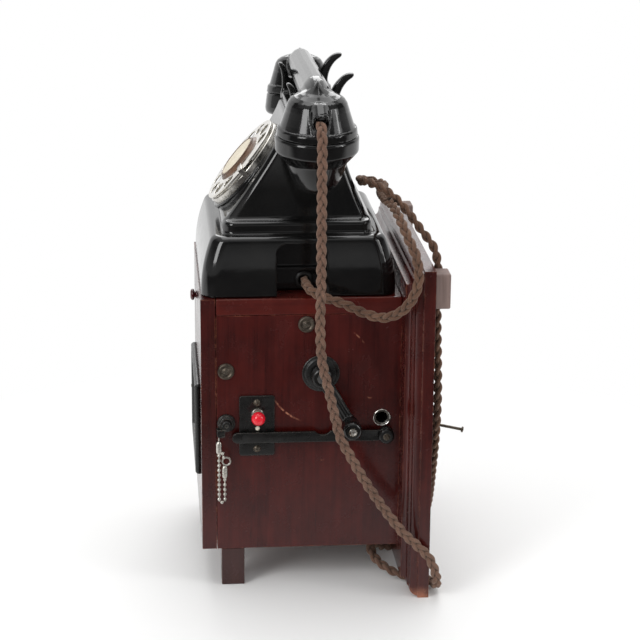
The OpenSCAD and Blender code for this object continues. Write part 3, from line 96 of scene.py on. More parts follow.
class Nodes:
    """The node tree of a material or the world, with short calls for the nodes that they share."""

    def __init__(self, owner, coords="Object"):
        owner.use_nodes = True
        self.owner, self.tree = owner, owner.node_tree
        self.shader = self.tree.nodes.get("Principled BSDF")
        self.coords = self.new("ShaderNodeTexCoord").outputs[coords]

    def new(self, kind, **settings):
        node = self.tree.nodes.new(kind)
        for key, value in settings.items():
            setattr(node, key, value)
        return node

    def put(self, value, socket):
        if isinstance(value, bpy.types.NodeSocket):
            self.tree.links.new(value, socket)
        else:
            socket.default_value = value

    def math(self, operation, a, b=0.0, clamp=False):
        node = self.new("ShaderNodeMath", operation=operation, use_clamp=clamp)
        self.put(a, node.inputs[0])
        self.put(b, node.inputs[1])
        return node.outputs[0]

    def times(self, a, b):
        return self.math("MULTIPLY", a, b)

    def plus(self, a, b, clamp=False):
        return self.math("ADD", a, b, clamp)

    def split(self, vector):
        node = self.new("ShaderNodeSeparateXYZ")
        self.put(vector, node.inputs[0])
        return node.outputs

    def stretched(self, scale, rotation=(0, 0, 0)):
        node = self.new("ShaderNodeMapping")
        self.put(self.coords, node.inputs["Vector"])
        node.inputs["Scale"].default_value = scale
        node.inputs["Rotation"].default_value = rotation
        return node.outputs[0]

    def noise(self, scale, detail=3, rough=0.55, vector=None, warp=0.0):
        node = self.new("ShaderNodeTexNoise")
        self.put(vector or self.coords, node.inputs["Vector"])
        for key, value in (("Scale", scale), ("Detail", detail), ("Roughness", rough), ("Distortion", warp)):
            node.inputs[key].default_value = value
        return node.outputs["Fac"]

    def span(self, value, low, high, to_low=0.0, to_high=1.0):
        node = self.new("ShaderNodeMapRange")
        for key, item in zip(range(5), (value, low, high, to_low, to_high)):
            self.put(item, node.inputs[key])
        return node.outputs[0]

    def blend(self, factor, a, b):
        node = self.new("ShaderNodeMix", data_type="RGBA")
        self.put(factor, node.inputs[0])
        self.put(a if isinstance(a, bpy.types.NodeSocket) else (*a, 1), node.inputs[6])
        self.put(b if isinstance(b, bpy.types.NodeSocket) else (*b, 1), node.inputs[7])
        return node.outputs[2]

    def edges(self, radius):
        """1 along the sharp edges of a piece, 0 on its faces."""
        bevel = self.new("ShaderNodeBevel", samples=4)
        bevel.inputs["Radius"].default_value = radius
        dot = self.new("ShaderNodeVectorMath", operation="DOT_PRODUCT")
        self.put(bevel.outputs[0], dot.inputs[0])
        self.put(self.new("ShaderNodeNewGeometry").outputs["Normal"], dot.inputs[1])
        return self.span(dot.outputs["Value"], 0.99, 0.86)

    def bump(self, height, strength, distance):
        node = self.new("ShaderNodeBump")
        node.inputs["Strength"].default_value = strength
        node.inputs["Distance"].default_value = distance
        self.put(height, node.inputs["Height"])
        if self.shader.inputs["Normal"].is_linked:
            self.put(self.shader.inputs["Normal"].links[0].from_socket, node.inputs["Normal"])
        self.put(node.outputs[0], self.shader.inputs["Normal"])

    def set(self, **values):
        for key, value in values.items():
            socket = self.shader.inputs[key.replace("_", " ")]
            self.put((*value, 1) if isinstance(value, tuple) and len(value) == 3 else value, socket)
        return self.owner


def material(name):
    return Nodes(bpy.data.materials.new(name))


def shade(colour, factor, lift=0.0):
    """A colour made darker or lighter, up to white."""
    return tuple(min(1, v * factor + lift) for v in colour)


def finish_of(name, dark, light, rough, scale=60, metallic=0.0, bump=(0.1, 0.0002, 400), coat=0.0,
              wear=None, scratch=0.0, stretch=(1, 1, 1), **extra):
    """A finish with mottled colour, uneven gloss, fine bumps, scratches and edges worn to another colour."""
    n = material(name)
    vector = n.stretched(stretch)
    cloud = n.noise(scale, 5, 0.6, vector)
    colour = n.blend(n.span(cloud, 0.32, 0.68), dark, light)
    gloss = n.span(n.noise(scale * 2.3, 4, 0.7, vector), 0.3, 0.7, rough[0], rough[1])
    if scratch:
        fine = n.noise(900, 2, 0.5, n.stretched((1, 0.05, 0.12), (0.5, 0.2, 0.7)))
        line = n.times(n.span(fine, 0.66, 0.72), scratch)
        gloss = n.plus(gloss, line, True)
        colour = n.blend(n.times(line, 0.5), colour, shade(light, 2.5, 0.02))
    if wear:
        patchy = n.span(n.noise(180, 4, 0.7), 0.35, 0.62)
        worn = n.times(n.edges(wear[1]), patchy)
        colour = n.blend(worn, colour, wear[0])
    n.bump(n.noise(bump[2], 4, 0.6), bump[0], bump[1])
    return n.set(Base_Color=colour, Roughness=gloss, Metallic=metallic, Coat_Weight=coat, **extra)


def wood(name, dark, light, grain, marks=(), wear=(0.30, 0.10, 0.05), coat_rough=0.12):
    """Polished mahogany: long grain along one axis, pores, cloudy stain, worn edges and marks of its own."""
    n = material(name)

    def grained(along, across):
        return n.stretched([along if i == grain else across for i in range(3)])

    streak = n.noise(1.0, 6, 0.62, grained(7.0, 260.0), 0.6)
    cloud = n.noise(14, 4, 0.6, grained(1.6, 3.2))
    tone = n.plus(n.times(streak, 0.4), n.times(cloud, 0.6))
    colour = n.blend(n.span(tone, 0.38, 0.62), dark, light)
    pore = n.span(n.noise(1.0, 2, 0.5, grained(35.0, 1500.0)), 0.64, 0.72)
    colour = n.blend(n.times(pore, 0.4), colour, shade(dark, 0.35))
    patchy = n.span(n.noise(70, 5, 0.75), 0.45, 0.62)
    colour = n.blend(n.times(n.edges(0.0012), n.times(patchy, 0.8)), colour, wear)
    for mark, tint, weight in marks:
        colour = n.blend(n.times(mark(n), weight), colour, tint)
    smear = n.span(n.noise(35, 5, 0.7), 0.3, 0.75, 0.16, 0.34)
    n.bump(n.plus(n.times(pore, -1.0), n.times(streak, 0.5)), 0.14, 0.0002)
    return n.set(Base_Color=colour, Roughness=smear, Specular_IOR_Level=0.3, Coat_Weight=0.3,
                 Coat_Roughness=coat_rough)


def near(n, value, target, width):
    """1 where the value is within the width of the target, fading to 0."""
    gap = n.math("ABSOLUTE", n.math("SUBTRACT", value, target))
    return n.span(gap, 0.4 * width, width, 1.0, 0.0)


def arc_mark(y, z, radius, width, window):
    """A scratch along part of a circle on the side panel, as the crank's knob leaves it, broken by noise."""
    def mark(n):
        _, back, height = n.split(n.coords)
        dy, dz = n.math("SUBTRACT", back, y * MM), n.math("SUBTRACT", height, z * MM)
        dist = n.math("SQRT", n.plus(n.times(dy, dy), n.times(dz, dz)))
        line = near(n, dist, radius * MM, width * MM)
        middle, half = (math.radians(v) for v in window)
        part = near(n, n.math("ARCTAN2", dz, dy), middle, half)
        return n.times(n.times(line, part), n.span(n.noise(260, 3), 0.38, 0.6))
    return mark


def foot_wear(n):
    """Bare brown wood where the backboard's feet have rubbed on the floor."""
    low = n.span(n.split(n.coords)[2], 0.011, 0.001)
    return n.times(low, n.span(n.noise(90, 4, 0.7), 0.35, 0.6))


def cotton(name, dark, light):
    """Plaited cotton: fine slanting threads round each strand, mottled by age, with painted shade darkening
    the creases.
    """
    n = material(name)
    around, run, _ = n.split(n.new("ShaderNodeTexCoord").outputs["UV"])
    turns = n.times(around, 5 * PI2)
    ribs = [n.math("SINE", n.plus(turns, n.times(run, side * PI2 / 1.3))) for side in (1, -1)]
    weave = n.math("MAXIMUM", *ribs)
    cloud = n.span(n.noise(55, 4, 0.7), 0.3, 0.7)
    tone = n.plus(n.times(cloud, 0.6), n.span(weave, -0.6, 1.0, 0.0, 0.4))
    # painted shade: an occlusion test darkens the colour where the strands crowd together in the creases
    crease = n.new("ShaderNodeAmbientOcclusion", samples=4)
    crease.inputs["Distance"].default_value = 0.003
    free_of_crease_shade = n.span(crease.outputs["AO"], 0.25, 0.85)
    fleck = n.span(n.noise(700, 2, 0.6), 0.6, 0.7, 0.0, 0.35)
    colour = n.blend(fleck, n.blend(tone, dark, light), shade(light, 1.7))
    colour = n.blend(free_of_crease_shade, shade(dark, 0.3), colour)
    n.bump(weave, 0.5, 0.0003)
    n.bump(n.noise(1600, 2, 0.7), 0.35, 0.0002)
    return n.set(Base_Color=colour, Roughness=0.88, Sheen_Weight=0.35, Sheen_Roughness=0.5,
                 Sheen_Tint=(0.75, 0.62, 0.5))


WORN = (0.42, 0.17, 0.10)
SCRATCHES = [
    (arc_mark(CRANK_Y, CRANK_Z, 44, 0.9, (-131, 21)), WORN, 0.8),
    (arc_mark(CRANK_Y, CRANK_Z, 43.3, 0.8, (43.6, 9)), WORN, 0.6),
    (arc_mark(33.4, 166.6, 3, 0.7, (-90, 60)), WORN, 0.5),
    (arc_mark(-5.8, 112.0, 2, 0.7, (-90, 50)), WORN, 0.5),
]
# Each finish has a dark and a light colour; then a wood has its grain's axis, the rest roughness and scale
RED_WOOD = (0.034, 0.0035, 0.0030), (0.068, 0.0074, 0.0056)
M = {
    "panel": wood("mahogany_panel", *RED_WOOD, 2, SCRATCHES),
    "panel_left": wood("mahogany_left", *RED_WOOD, 2),
    "door": wood("mahogany_door", (0.027, 0.0036, 0.0030), (0.052, 0.0072, 0.0058), 2),
    "board": wood("mahogany_board", (0.032, 0.0046, 0.0040), (0.064, 0.0088, 0.0066), 2,
                  [(foot_wear, WORN, 0.75)]),
    "across": wood("mahogany_across", (0.052, 0.0056, 0.0042), (0.092, 0.0110, 0.0076), 1, (),
                   (0.36, 0.14, 0.07)),
    "inside": wood("mahogany_inside", (0.055, 0.018, 0.011), (0.095, 0.034, 0.021), 0, (),
                   (0.3, 0.12, 0.06), 0.45),
    "leg": wood("mahogany_leg", (0.030, 0.010, 0.009), (0.052, 0.019, 0.017), 2, (), (0.2, 0.08, 0.05), 0.4),
    "spacer": finish_of("plain_wood", (0.14, 0.094, 0.082), (0.26, 0.185, 0.165), (0.6, 0.85), 40,
                        bump=(0.4, 0.0004, 500), stretch=(1, 3, 0.3)),
    "bakelite": finish_of("bakelite", (0.0032, 0.0032, 0.0034), (0.0062, 0.006, 0.0058), (0.07, 0.16), 45,
                          bump=(0.05, 0.0001, 160), coat=0.15, scratch=0.05, Coat_Roughness=0.05),
    "bakelite_dull": finish_of("bakelite_dull", (0.006, 0.0058, 0.0056), (0.014, 0.013, 0.012), (0.28, 0.45),
                               70, bump=(0.12, 0.0002, 300), scratch=0.1),
    "japan": finish_of("black_japan", (0.0035, 0.0034, 0.0033), (0.008, 0.0075, 0.007), (0.2, 0.36), 60,
                       bump=(0.2, 0.0003, 420), wear=((0.24, 0.22, 0.19), 0.0007), scratch=0.12),
    "nickel": finish_of("worn_nickel", (0.42, 0.40, 0.37), (0.68, 0.66, 0.62), (0.14, 0.34), 160, 1.0,
                        (0.15, 0.0001, 600), wear=((0.35, 0.28, 0.18), 0.0005), scratch=0.15),
    "bright": finish_of("bright_nickel", (0.62, 0.59, 0.54), (0.84, 0.82, 0.78), (0.10, 0.24), 110, 1.0,
                        (0.1, 0.0001, 500), wear=((0.5, 0.42, 0.3), 0.0004), scratch=0.12),
    "chain": finish_of("chain_nickel", (0.50, 0.48, 0.43), (0.74, 0.72, 0.66), (0.2, 0.36), 300, 1.0,
                       (0.2, 0.0001, 900)),
    "brass": finish_of("aged_brass", (0.30, 0.19, 0.07), (0.56, 0.40, 0.17), (0.22, 0.45), 90, 1.0,
                       (0.2, 0.0001, 500), wear=((0.7, 0.55, 0.3), 0.0005)),
    "steel": finish_of("plain_steel", (0.26, 0.26, 0.26), (0.48, 0.48, 0.47), (0.25, 0.5), 110, 1.0,
                       (0.25, 0.0001, 500), scratch=0.2),
    # partly painted highlight: the pale worn edges of these dull screws and cup washers are wear, and also
    # stand in for the bright rings that light puts on their rims
    "screw": finish_of("dull_screw", (0.055, 0.045, 0.036), (0.17, 0.14, 0.11), (0.3, 0.55), 260, 0.9,
                       (0.3, 0.0002, 900), wear=((0.55, 0.5, 0.42), 0.0005)),
    "magnet": finish_of("magnet_paint", (0.10, 0.008, 0.006), (0.19, 0.018, 0.012), (0.3, 0.5), 70,
                        bump=(0.25, 0.0003, 300), wear=((0.2, 0.19, 0.18), 0.0008)),
    "red": finish_of("red_button", (0.62, 0.006, 0.018), (0.78, 0.012, 0.03), (0.12, 0.2), 120,
                     bump=(0.05, 0.0001, 300), coat=0.6, Coat_Roughness=0.08),
    "knob_red": finish_of("door_knob_red", (0.03, 0.002, 0.003), (0.07, 0.005, 0.007), (0.1, 0.2), 300,
                          coat=0.5),
    "brown": finish_of("brown_enamel", (0.07, 0.035, 0.018), (0.16, 0.085, 0.05), (0.3, 0.5), 80,
                       bump=(0.15, 0.0002, 300), wear=((0.45, 0.4, 0.33), 0.0005)),
    "ivory": finish_of("dial_enamel", (0.62, 0.58, 0.47), (0.74, 0.70, 0.60), (0.2, 0.35), 70,
                       bump=(0.08, 0.0001, 300), coat=0.3),
    "card": finish_of("cream_card", (0.60, 0.54, 0.42), (0.74, 0.68, 0.56), (0.7, 0.85), 55,
                      bump=(0.3, 0.0002, 900)),
    "ink": finish_of("black_ink", (0.006, 0.006, 0.006), (0.014, 0.013, 0.012), (0.4, 0.55), 200),
    "cell": finish_of("cell_card", (0.20, 0.055, 0.018), (0.33, 0.11, 0.04), (0.55, 0.8), 60,
                      bump=(0.35, 0.0003, 600), wear=((0.5, 0.38, 0.24), 0.0008)),
    "winding": finish_of("silk_winding", (0.014, 0.075, 0.022), (0.03, 0.13, 0.045), (0.5, 0.7), 40,
                         bump=(0.9, 0.0003, 1), stretch=(1, 1, 60)),
    "glass": finish_of("notice_glass", (0.72, 0.78, 0.75), (0.82, 0.87, 0.84), (0.03, 0.09), 30,
                       bump=(0.04, 0.0001, 100), Transmission_Weight=0.85, IOR=1.5),
    "cord": cotton("brown_cotton", (0.048, 0.019, 0.010), (0.150, 0.074, 0.043)),
    "cord_pale": cotton("faded_cotton", (0.066, 0.028, 0.017), (0.195, 0.108, 0.073)),
}

# ---------- mesh helpers ----------


def unit(v):
    v = np.asarray(v, float)
    return v / np.linalg.norm(v)


def place(origin, turn=None):
    """A move out of a part's own frame: an optional turn, then a shift."""
    turn = np.eye(3) if turn is None else np.array(turn, float)
    return lambda v: v @ turn.T + np.array(origin, float)


def axes(z, x):
    """The turn that takes local Z to z and local X as near to x as it can."""
    z = unit(z)
    x = unit(np.array(x, float) - z * (z @ np.array(x, float)))
    return np.column_stack([x, np.cross(z, x), z])


def on_side(y, z, x=SIDE_X):
    """The right side panel's frame: local X is back, local Y is up and local Z is out."""
    return place((x, y, z), axes((1, 0, 0), (0, 1, 0)))


DIAL_TURN = np.array(Matrix.Rotation(TILT, 3, "X"))


def on_dial(height=0.0, degrees=0.0):
    spin = np.array(Matrix.Rotation(math.radians(degrees), 3, "Z"))
    return place(DIAL + DIAL_TURN @ np.array([0, 0, height]), DIAL_TURN @ spin)


def soften(points, steps=5, closed=False):
    """Points in a line, where a third number rounds that corner off from so far away."""
    line, last = [], len(points) - 1
    for i, point in enumerate(points):
        here = np.array(point[:2], float)
        if len(point) == 3 and (closed or 0 < i < last):
            ends = [np.array(points[j][:2], float) for j in (i - 1, (i + 1) % len(points))]
            a, b = (here + unit(e - here) * min(point[2], 0.49 * np.linalg.norm(e - here)) for e in ends)
            line += [a * (1 - t) ** 2 + 2 * here * t * (1 - t) + b * t * t
                     for t in np.linspace(0, 1, steps + 1)]
        else:
            line.append(here)
    return np.array(line)


def lathe(points, n=96, closed=False):
    """A turned part about local Z from (radius, height) points, the outside on the right of the way up."""
    verts, rows = [], []
    for r, z in soften(points, closed=closed):
        if r < 1e-6:
            rows.append([len(verts)] * n)
            verts.append((0, 0, z))
        else:
            rows.append(list(range(len(verts), len(verts) + n)))
            verts += [(r * math.cos(PI2 * k / n), r * math.sin(PI2 * k / n), z) for k in range(n)]
    faces = []
    for low, high in list(zip(rows, rows[1:])) + ([(rows[-1], rows[0])] if closed else []):
        for k in range(n):
            m = (k + 1) % n
            face = list(dict.fromkeys([low[k], low[m], high[m], high[k]]))
            if len(face) > 2:
                faces.append(face)
    return np.array(verts, float), faces


def cylinder(r, low, high, n):
    return lathe([(0, low), (r, low), (r, high), (0, high)], n)


def rings(levels):
    """A closed form through rings of equally many points, with its two ends filled."""
    count, n = len(levels), len(levels[0])
    faces = [[j * n + k, j * n + (k + 1) % n, (j + 1) * n + (k + 1) % n, (j + 1) * n + k]
             for j in range(count - 1) for k in range(n)]
    faces += [list(range(n))[::-1], list(range((count - 1) * n, count * n))]
    return np.concatenate([np.asarray(level, float) for level in levels]), faces


def tube(levels):
    """The form that rings gives, without its two ends."""
    verts, faces = rings(levels)
    return verts, faces[:-2]


def along(path, side):
    """A path's unit tangents, with two directions across it carried along without twist."""
    tangents = np.gradient(np.asarray(path, float), axis=0)
    tangents /= np.linalg.norm(tangents, axis=1)[:, None]
    sides, s = [], np.array(side, float)
    for t in tangents:
        s = unit(s - t * (s @ t))
        sides.append(s)
    sides = np.array(sides)
    return tangents, sides, np.cross(tangents, sides)


def circle(r, n=24, at=(0, 0)):
    return [(at[0] + r * math.cos(PI2 * k / n), at[1] + r * math.sin(PI2 * k / n)) for k in range(n)]


def arc(at, r, start, end, n):
    return [(at[0] + r * math.cos(q), at[1] + r * math.sin(q)) for q in np.linspace(start, end, n)]


def smooth_path(points, step):
    """Evenly spaced points on one smooth curve through the given ones."""
    p = np.asarray(points, float)
    h = np.linalg.norm(np.diff(p, axis=0), axis=1)
    slopes = np.diff(p, axis=0) / h[:, None]
    m = np.vstack([slopes[:1], (slopes[:-1] * h[1:, None] + slopes[1:] * h[:-1, None])
                   / (h[:-1] + h[1:])[:, None], slopes[-1:]])
    t = np.linspace(0, 1, 16, endpoint=False)[:, None]
    dense = [(2 * t**3 - 3 * t**2 + 1) * p[i] + (t**3 - 2 * t**2 + t) * h[i] * m[i]
             + (3 * t**2 - 2 * t**3) * p[i + 1] + (t**3 - t**2) * h[i] * m[i + 1] for i in range(len(h))]
    dense = np.vstack(dense + [p[-1:]])
    s = np.concatenate([[0], np.cumsum(np.linalg.norm(np.diff(dense, axis=0), axis=1))])
    even = np.linspace(0, s[-1], max(2, round(s[-1] / step) + 1))
    return np.column_stack([np.interp(even, s, dense[:, i]) for i in range(3)])


def outline_part(outlines, depth, bevel=0.25):
    """A flat part from z 0 to its depth with rounded edges: an outer outline and those of its holes."""
    curve = bpy.data.curves.new("outline", "CURVE")
    curve.dimensions, curve.fill_mode = "2D", "BOTH"
    curve.extrude, curve.offset = depth / 2 - bevel, -bevel
    curve.bevel_depth, curve.bevel_resolution = bevel, 2
    for i, line in enumerate(outlines):
        line = np.asarray(line, float)
        area = np.sum(line[:, 0] * np.roll(line[:, 1], -1) - np.roll(line[:, 0], -1) * line[:, 1])
        if (area < 0) == (i == 0):
            line = line[::-1]
        spline = curve.splines.new("POLY")
        spline.points.add(len(line) - 1)
        spline.points.foreach_set("co", [c for x, y in line for c in (x, y, 0, 1)])
        spline.use_cyclic_u = True
    return from_curve(curve, depth / 2)


def digit(text, size, depth):
    """A plain numeral, centred, standing on z 0."""
    curve = bpy.data.curves.new("digit", "FONT")
    curve.body, curve.size, curve.extrude = text, size, depth / 2
    curve.align_x, curve.align_y = "CENTER", "CENTER"
    return from_curve(curve, depth / 2)


def from_curve(curve, lift):
    """A curve's mesh as a part: its doubled points joined, its faces outwards, raised by lift."""
    obj = bpy.data.objects.new("outline", curve)
    scene.collection.objects.link(obj)
    mesh = bpy.data.meshes.new_from_object(obj.evaluated_get(bpy.context.evaluated_depsgraph_get()))
    bm = bmesh.new()
    bm.from_mesh(mesh)
    bmesh.ops.remove_doubles(bm, verts=bm.verts, dist=1e-3)
    bmesh.ops.recalc_face_normals(bm, faces=bm.faces)
    bm.verts.index_update()
    part = (np.array([v.co for v in bm.verts]) + [0, 0, lift], [[v.index for v in f.verts] for f in bm.faces])
    bm.free()
    bpy.data.objects.remove(obj)
    bpy.data.meshes.remove(mesh)
    return part


def settle(mesh, name, body, node, bevel=0.0):
    """An object from a mesh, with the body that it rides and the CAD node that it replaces."""
    obj = bpy.data.objects.new(name, mesh)
    scene.collection.objects.link(obj)
    if bevel:
        add_bevel(obj, bevel)
    if body:
        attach(obj, body)
    if node:
        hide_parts(node)
    return obj


def add_bevel(obj, width):
    modifier = obj.modifiers.new("edges", "BEVEL")
    modifier.width, modifier.segments = width * MM, 2
    modifier.limit_method, modifier.angle_limit = "ANGLE", math.radians(35)
    modifier.use_clamp_overlap = modifier.harden_normals = True

class Shape:
    """A mesh put together from parts in millimetres, each with a finish of its own."""

    def __init__(self):
        self.verts, self.faces, self.slots, self.finishes, self.count = [], [], [], [], 0

    def add(self, part, finish, where=None):
        verts, faces = part
        verts = np.asarray(verts, float)
        self.verts.append(verts if where is None else where(verts))
        if finish not in self.finishes:
            self.finishes.append(finish)
        self.faces += [[i + self.count for i in face] for face in faces]
        self.slots += [self.finishes.index(finish)] * len(faces)
        self.count += len(verts)
        return self

    def piece(self, name, body, node=None, slot=None, crease=38, bevel=0.0):
        mesh = bpy.data.meshes.new(name)
        mesh.from_pydata((np.concatenate(self.verts) * MM).tolist(), [], self.faces)
        for finish in self.finishes:
            mesh.materials.append(M[finish])
        mesh.polygons.foreach_set("material_index", self.slots)
        mesh.polygons.foreach_set("use_smooth", [True] * len(mesh.polygons))
        mesh.set_sharp_from_angle(angle=math.radians(crease))
        return settle(mesh, name, body, node, bevel)


# ---------- cords, which come first ----------

PLAIT_PITCH, YARN_SIDES, BRAID_WIDE, BRAID_DEEP, YARN = 29.0, 10, 2.35, 1.35, (1.85, 1.7)


def plait(name, centre, side, finish):
    """Three strands plaited flat along a centre line; gives the object and the line, in metres."""
    line = smooth_path(centre, 1.25)
    _, a, b = along(line, side)
    run = np.concatenate([[0], np.cumsum(np.linalg.norm(np.diff(line, axis=0), axis=1))])
    shape, texture = Shape(), []
    for k in range(3):
        phase = PI2 * (run / PLAIT_PITCH + k / 3)
        wide, deep = BRAID_WIDE * np.sin(phase), BRAID_DEEP * np.sin(2 * phase)
        strand = line + wide[:, None] * a + deep[:, None] * b
        tangent = np.gradient(strand, axis=0)
        tangent /= np.linalg.norm(tangent, axis=1)[:, None]
        u = a - tangent * np.sum(a * tangent, axis=1)[:, None]
        u /= np.linalg.norm(u, axis=1)[:, None]
        v = np.cross(tangent, u)
        section = np.array(circle(1.0, YARN_SIDES)) * YARN
        levels = [p + section[:, :1] * x + section[:, 1:] * y for p, x, y in zip(strand, u, v)]
        shape.add(rings(levels), finish)
        for low, high in zip(run, run[1:]):
            for i in range(YARN_SIDES):
                left, right = i / YARN_SIDES, (i + 1) / YARN_SIDES
                texture += [left, low, right, low, right, high, left, high]
        texture += [0.5, 0] * (2 * YARN_SIDES)
    obj = shape.piece(name, None, crease=80)
    obj.data.uv_layers.new(name="yarn").data.foreach_set("uv", texture)
    return obj, line * MM


handset_centre = [
    tuple(GLAND - 2 * GLAND_DIR), tuple(GLAND + 4 * GLAND_DIR),
    (135, -12, 393), (138, -12, 386), (139, -12, 376), (139, -12, 350), (139, -12, 325), (139, -12, 300),
    (139, -12, 270), (139, -12.5, 240), (138, -10.5, 210), (137, -4.5, 184), (136, 1, 160),
    (135.5, 4.5, 146), (135, 12, 131), (135, 23, 111), (136, 35, 92), (136, 46, 76), (137, 57, 62),
    (137, 69, 50), (137, 79, 39), (136.5, 83.5, 29), (135, 86, 20), (130, 87, 12.5), (121, 87.5, 7.5),
    (111, 87.2, 5.2), (104, 84.8, 4.6), (99.3, 77, 4.6), (96.5, 66, 5), (93, 57, 7), (88, 49.5, 10),
    (82, 44, 12.5), (76, 40.5, 15.5), (71, 38.5, 20),
    (68, 38, 26), (68, 38, 32)]
line_centre = [
    (70, -20, 259), (76, -20, 259),
    (90, -19, 260), (101, -17, 259), (110, -8, 256), (113, 8, 251), (116, 24, 244), (121, 39, 241),
    (129, 51, 247), (135, 60, 259), (138, 65, 275), (133, 64, 292), (121, 58, 307), (103, 53, 319),
    (83, 50, 324), (58, 47.5, 323), (30, 47.5, 321), (5, 50, 318), (-15, 54, 315.5), (-33, 57, 313.5),
    (-48, 54.5, 312.5), (-55.5, 46.5, 313), (-48, 38.8, 315), (-32, 36.5, 318), (-10, 34.5, 323),
    (10, 32, 328), (28, 29.5, 332.5), (40, 29, 335), (51, 31, 337), (63, 39, 336), (74, 51, 330),
    (85, 63, 318), (93, 73, 305), (98, 82.5, 292), (99, 86, 276), (100, 86, 255), (104, 85.7, 230),
    (111, 85.7, 205), (117, 85.7, 175), (114, 85.7, 148), (104, 86, 122), (92, 86.5, 100), (78, 87.5, 80),
    (62, 88.5, 61), (47, 88.8, 43), (40, 88.8, 30), (37, 88.8, 21.6), (35.5, 86.6, 13.1), (34.5, 83.8, 9.6),
    (33.5, 80, 6.7), (32.5, 71.8, 4.6), (32, 64, 5), (35, 57, 6.5), (40, 51, 9), (45.5, 46.5, 13.5),
    (49, 44, 20),
    (50, 43, 26), (50, 43, 32)]
handset_cord, handset_line = plait("handset_cord_plait", handset_centre, (0, 1, 0), "cord_pale")
line_cord, line_line = plait("line_cord_plait", line_centre, (0, 0, 1), "cord")
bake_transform(handset_cord)
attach(line_cord, "cabinet")
for obj, node, line, exit_at in ((handset_cord, "handset_cord", handset_line, tuple(GLAND * MM)),
                                 (line_cord, "line_cord", line_line, (0.071, -0.02, 0.259))):
    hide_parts(node)

# ---------- smooth bodies, from signed distances in millimetres ----------


def join(a, b, k):
    """Two distances joined with a fillet of size k."""
    h = np.clip(0.5 + 0.5 * (b - a) / k, 0, 1)
    return b * (1 - h) + a * h - k * h * (1 - h)


def common(a, b, k):
    return -join(-a, -b, k)


def without(a, b, k):
    return -join(-a, b, k)


def round_box(x, y, hx, hy, r):
    qx, qy = np.abs(x) - hx + r, np.abs(y) - hy + r
    return np.hypot(np.maximum(qx, 0), np.maximum(qy, 0)) + np.minimum(np.maximum(qx, qy), 0) - r


def in_polygon(x, y, points):
    """Distance to a closed polygon, negative inside it."""
    points = np.asarray(points, float)
    nearest, sign = np.full(np.shape(x), np.inf), np.ones(np.shape(x))
    for a, b in zip(points, np.roll(points, 1, axis=0)):
        edge = b - a
        wx, wy = x - a[0], y - a[1]
        t = np.clip((wx * edge[0] + wy * edge[1]) / (edge @ edge), 0, 1)
        nearest = np.minimum(nearest, (wx - edge[0] * t) ** 2 + (wy - edge[1] * t) ** 2)
        above, below, left = y >= a[1], y < b[1], edge[0] * wy > edge[1] * wx
        sign = np.where((above & below & left) | (~above & ~below & ~left), -sign, sign)
    return sign * np.sqrt(nearest)


def rod(x, y, z, points, radii):
    """Distance to a bent tapering rod through points, with its radii at them."""
    best = None
    for p, q, r0, r1 in zip(points, points[1:], radii, radii[1:]):
        p, q = np.array(p, float), np.array(q, float)
        d, w = q - p, (x - p[0], y - p[1], z - p[2])
        t = np.clip((w[0] * d[0] + w[1] * d[1] + w[2] * d[2]) / (d @ d), 0, 1)
        gap = np.sqrt(sum((w[i] - d[i] * t) ** 2 for i in range(3))) - r0 - (r1 - r0) * t
        best = gap if best is None else join(best, gap, 1.5)
    return best


def surface_of(f, low, high, step):
    """The surface where f is nought, as points, quads and unit normals."""
    low = np.array(low, float)
    count = np.ceil((np.array(high) - low) / step).astype(int) + 1
    value = f(*np.meshgrid(*(low[i] + step * np.arange(count[i]) for i in range(3)), indexing="ij"))
    inside, cells = value < 0, tuple(count - 1)
    total, hits, crossings = np.zeros((*cells, 3)), np.zeros(cells), []
    for axis in range(3):
        a, b = [slice(None)] * 3, [slice(None)] * 3
        a[axis], b[axis] = slice(0, -1), slice(1, None)
        a, b = tuple(a), tuple(b)
        crossed = inside[a] != inside[b]
        at = np.argwhere(crossed)
        point = low + step * at
        point[:, axis] += step * value[a][crossed] / (value[a][crossed] - value[b][crossed])
        u, w = (axis + 1) % 3, (axis + 2) % 3
        around = []
        for du, dw in ((-1, -1), (0, -1), (0, 0), (-1, 0)):
            cell = at.copy()
            cell[:, u] += du
            cell[:, w] += dw
            around.append(cell)
            np.add.at(total, tuple(cell.T), point)
            np.add.at(hits, tuple(cell.T), 1)
        crossings.append((around, inside[a][crossed]))
    used = hits > 0
    index = np.full(cells, -1)
    index[used] = np.arange(used.sum())
    verts = total[used] / hits[used][:, None]
    quads = []
    for around, outward in crossings:
        quad = np.stack([index[tuple(cell.T)] for cell in around], axis=1)
        quads.append(np.where(outward[:, None], quad, quad[:, ::-1]))

    def slope(p, e=0.02):
        shift = np.eye(3) * e
        return np.stack([f(*(p + s).T) - f(*(p - s).T) for s in shift], axis=1) / (2 * e)

    for _ in range(4):
        g = slope(verts)
        pull = np.clip(f(*verts.T), -step, step) / np.maximum(np.sum(g * g, axis=1), 0.3)
        verts = verts - pull[:, None] * g
    g = slope(verts)
    return verts, np.concatenate(quads), g / np.maximum(np.linalg.norm(g, axis=1), 1e-9)[:, None]


def body_piece(name, f, low, high, step, finish, body, node):
    verts, quads, normals = surface_of(f, low, high, step)
    mesh = bpy.data.meshes.new(name)
    mesh.from_pydata((verts * MM).tolist(), [], quads.tolist())
    mesh.materials.append(M[finish])
    mesh.polygons.foreach_set("use_smooth", [True] * len(mesh.polygons))
    mesh.normals_split_custom_set_from_vertices(normals.tolist())
    return settle(mesh, name, body, node)


# ---------- handset ----------

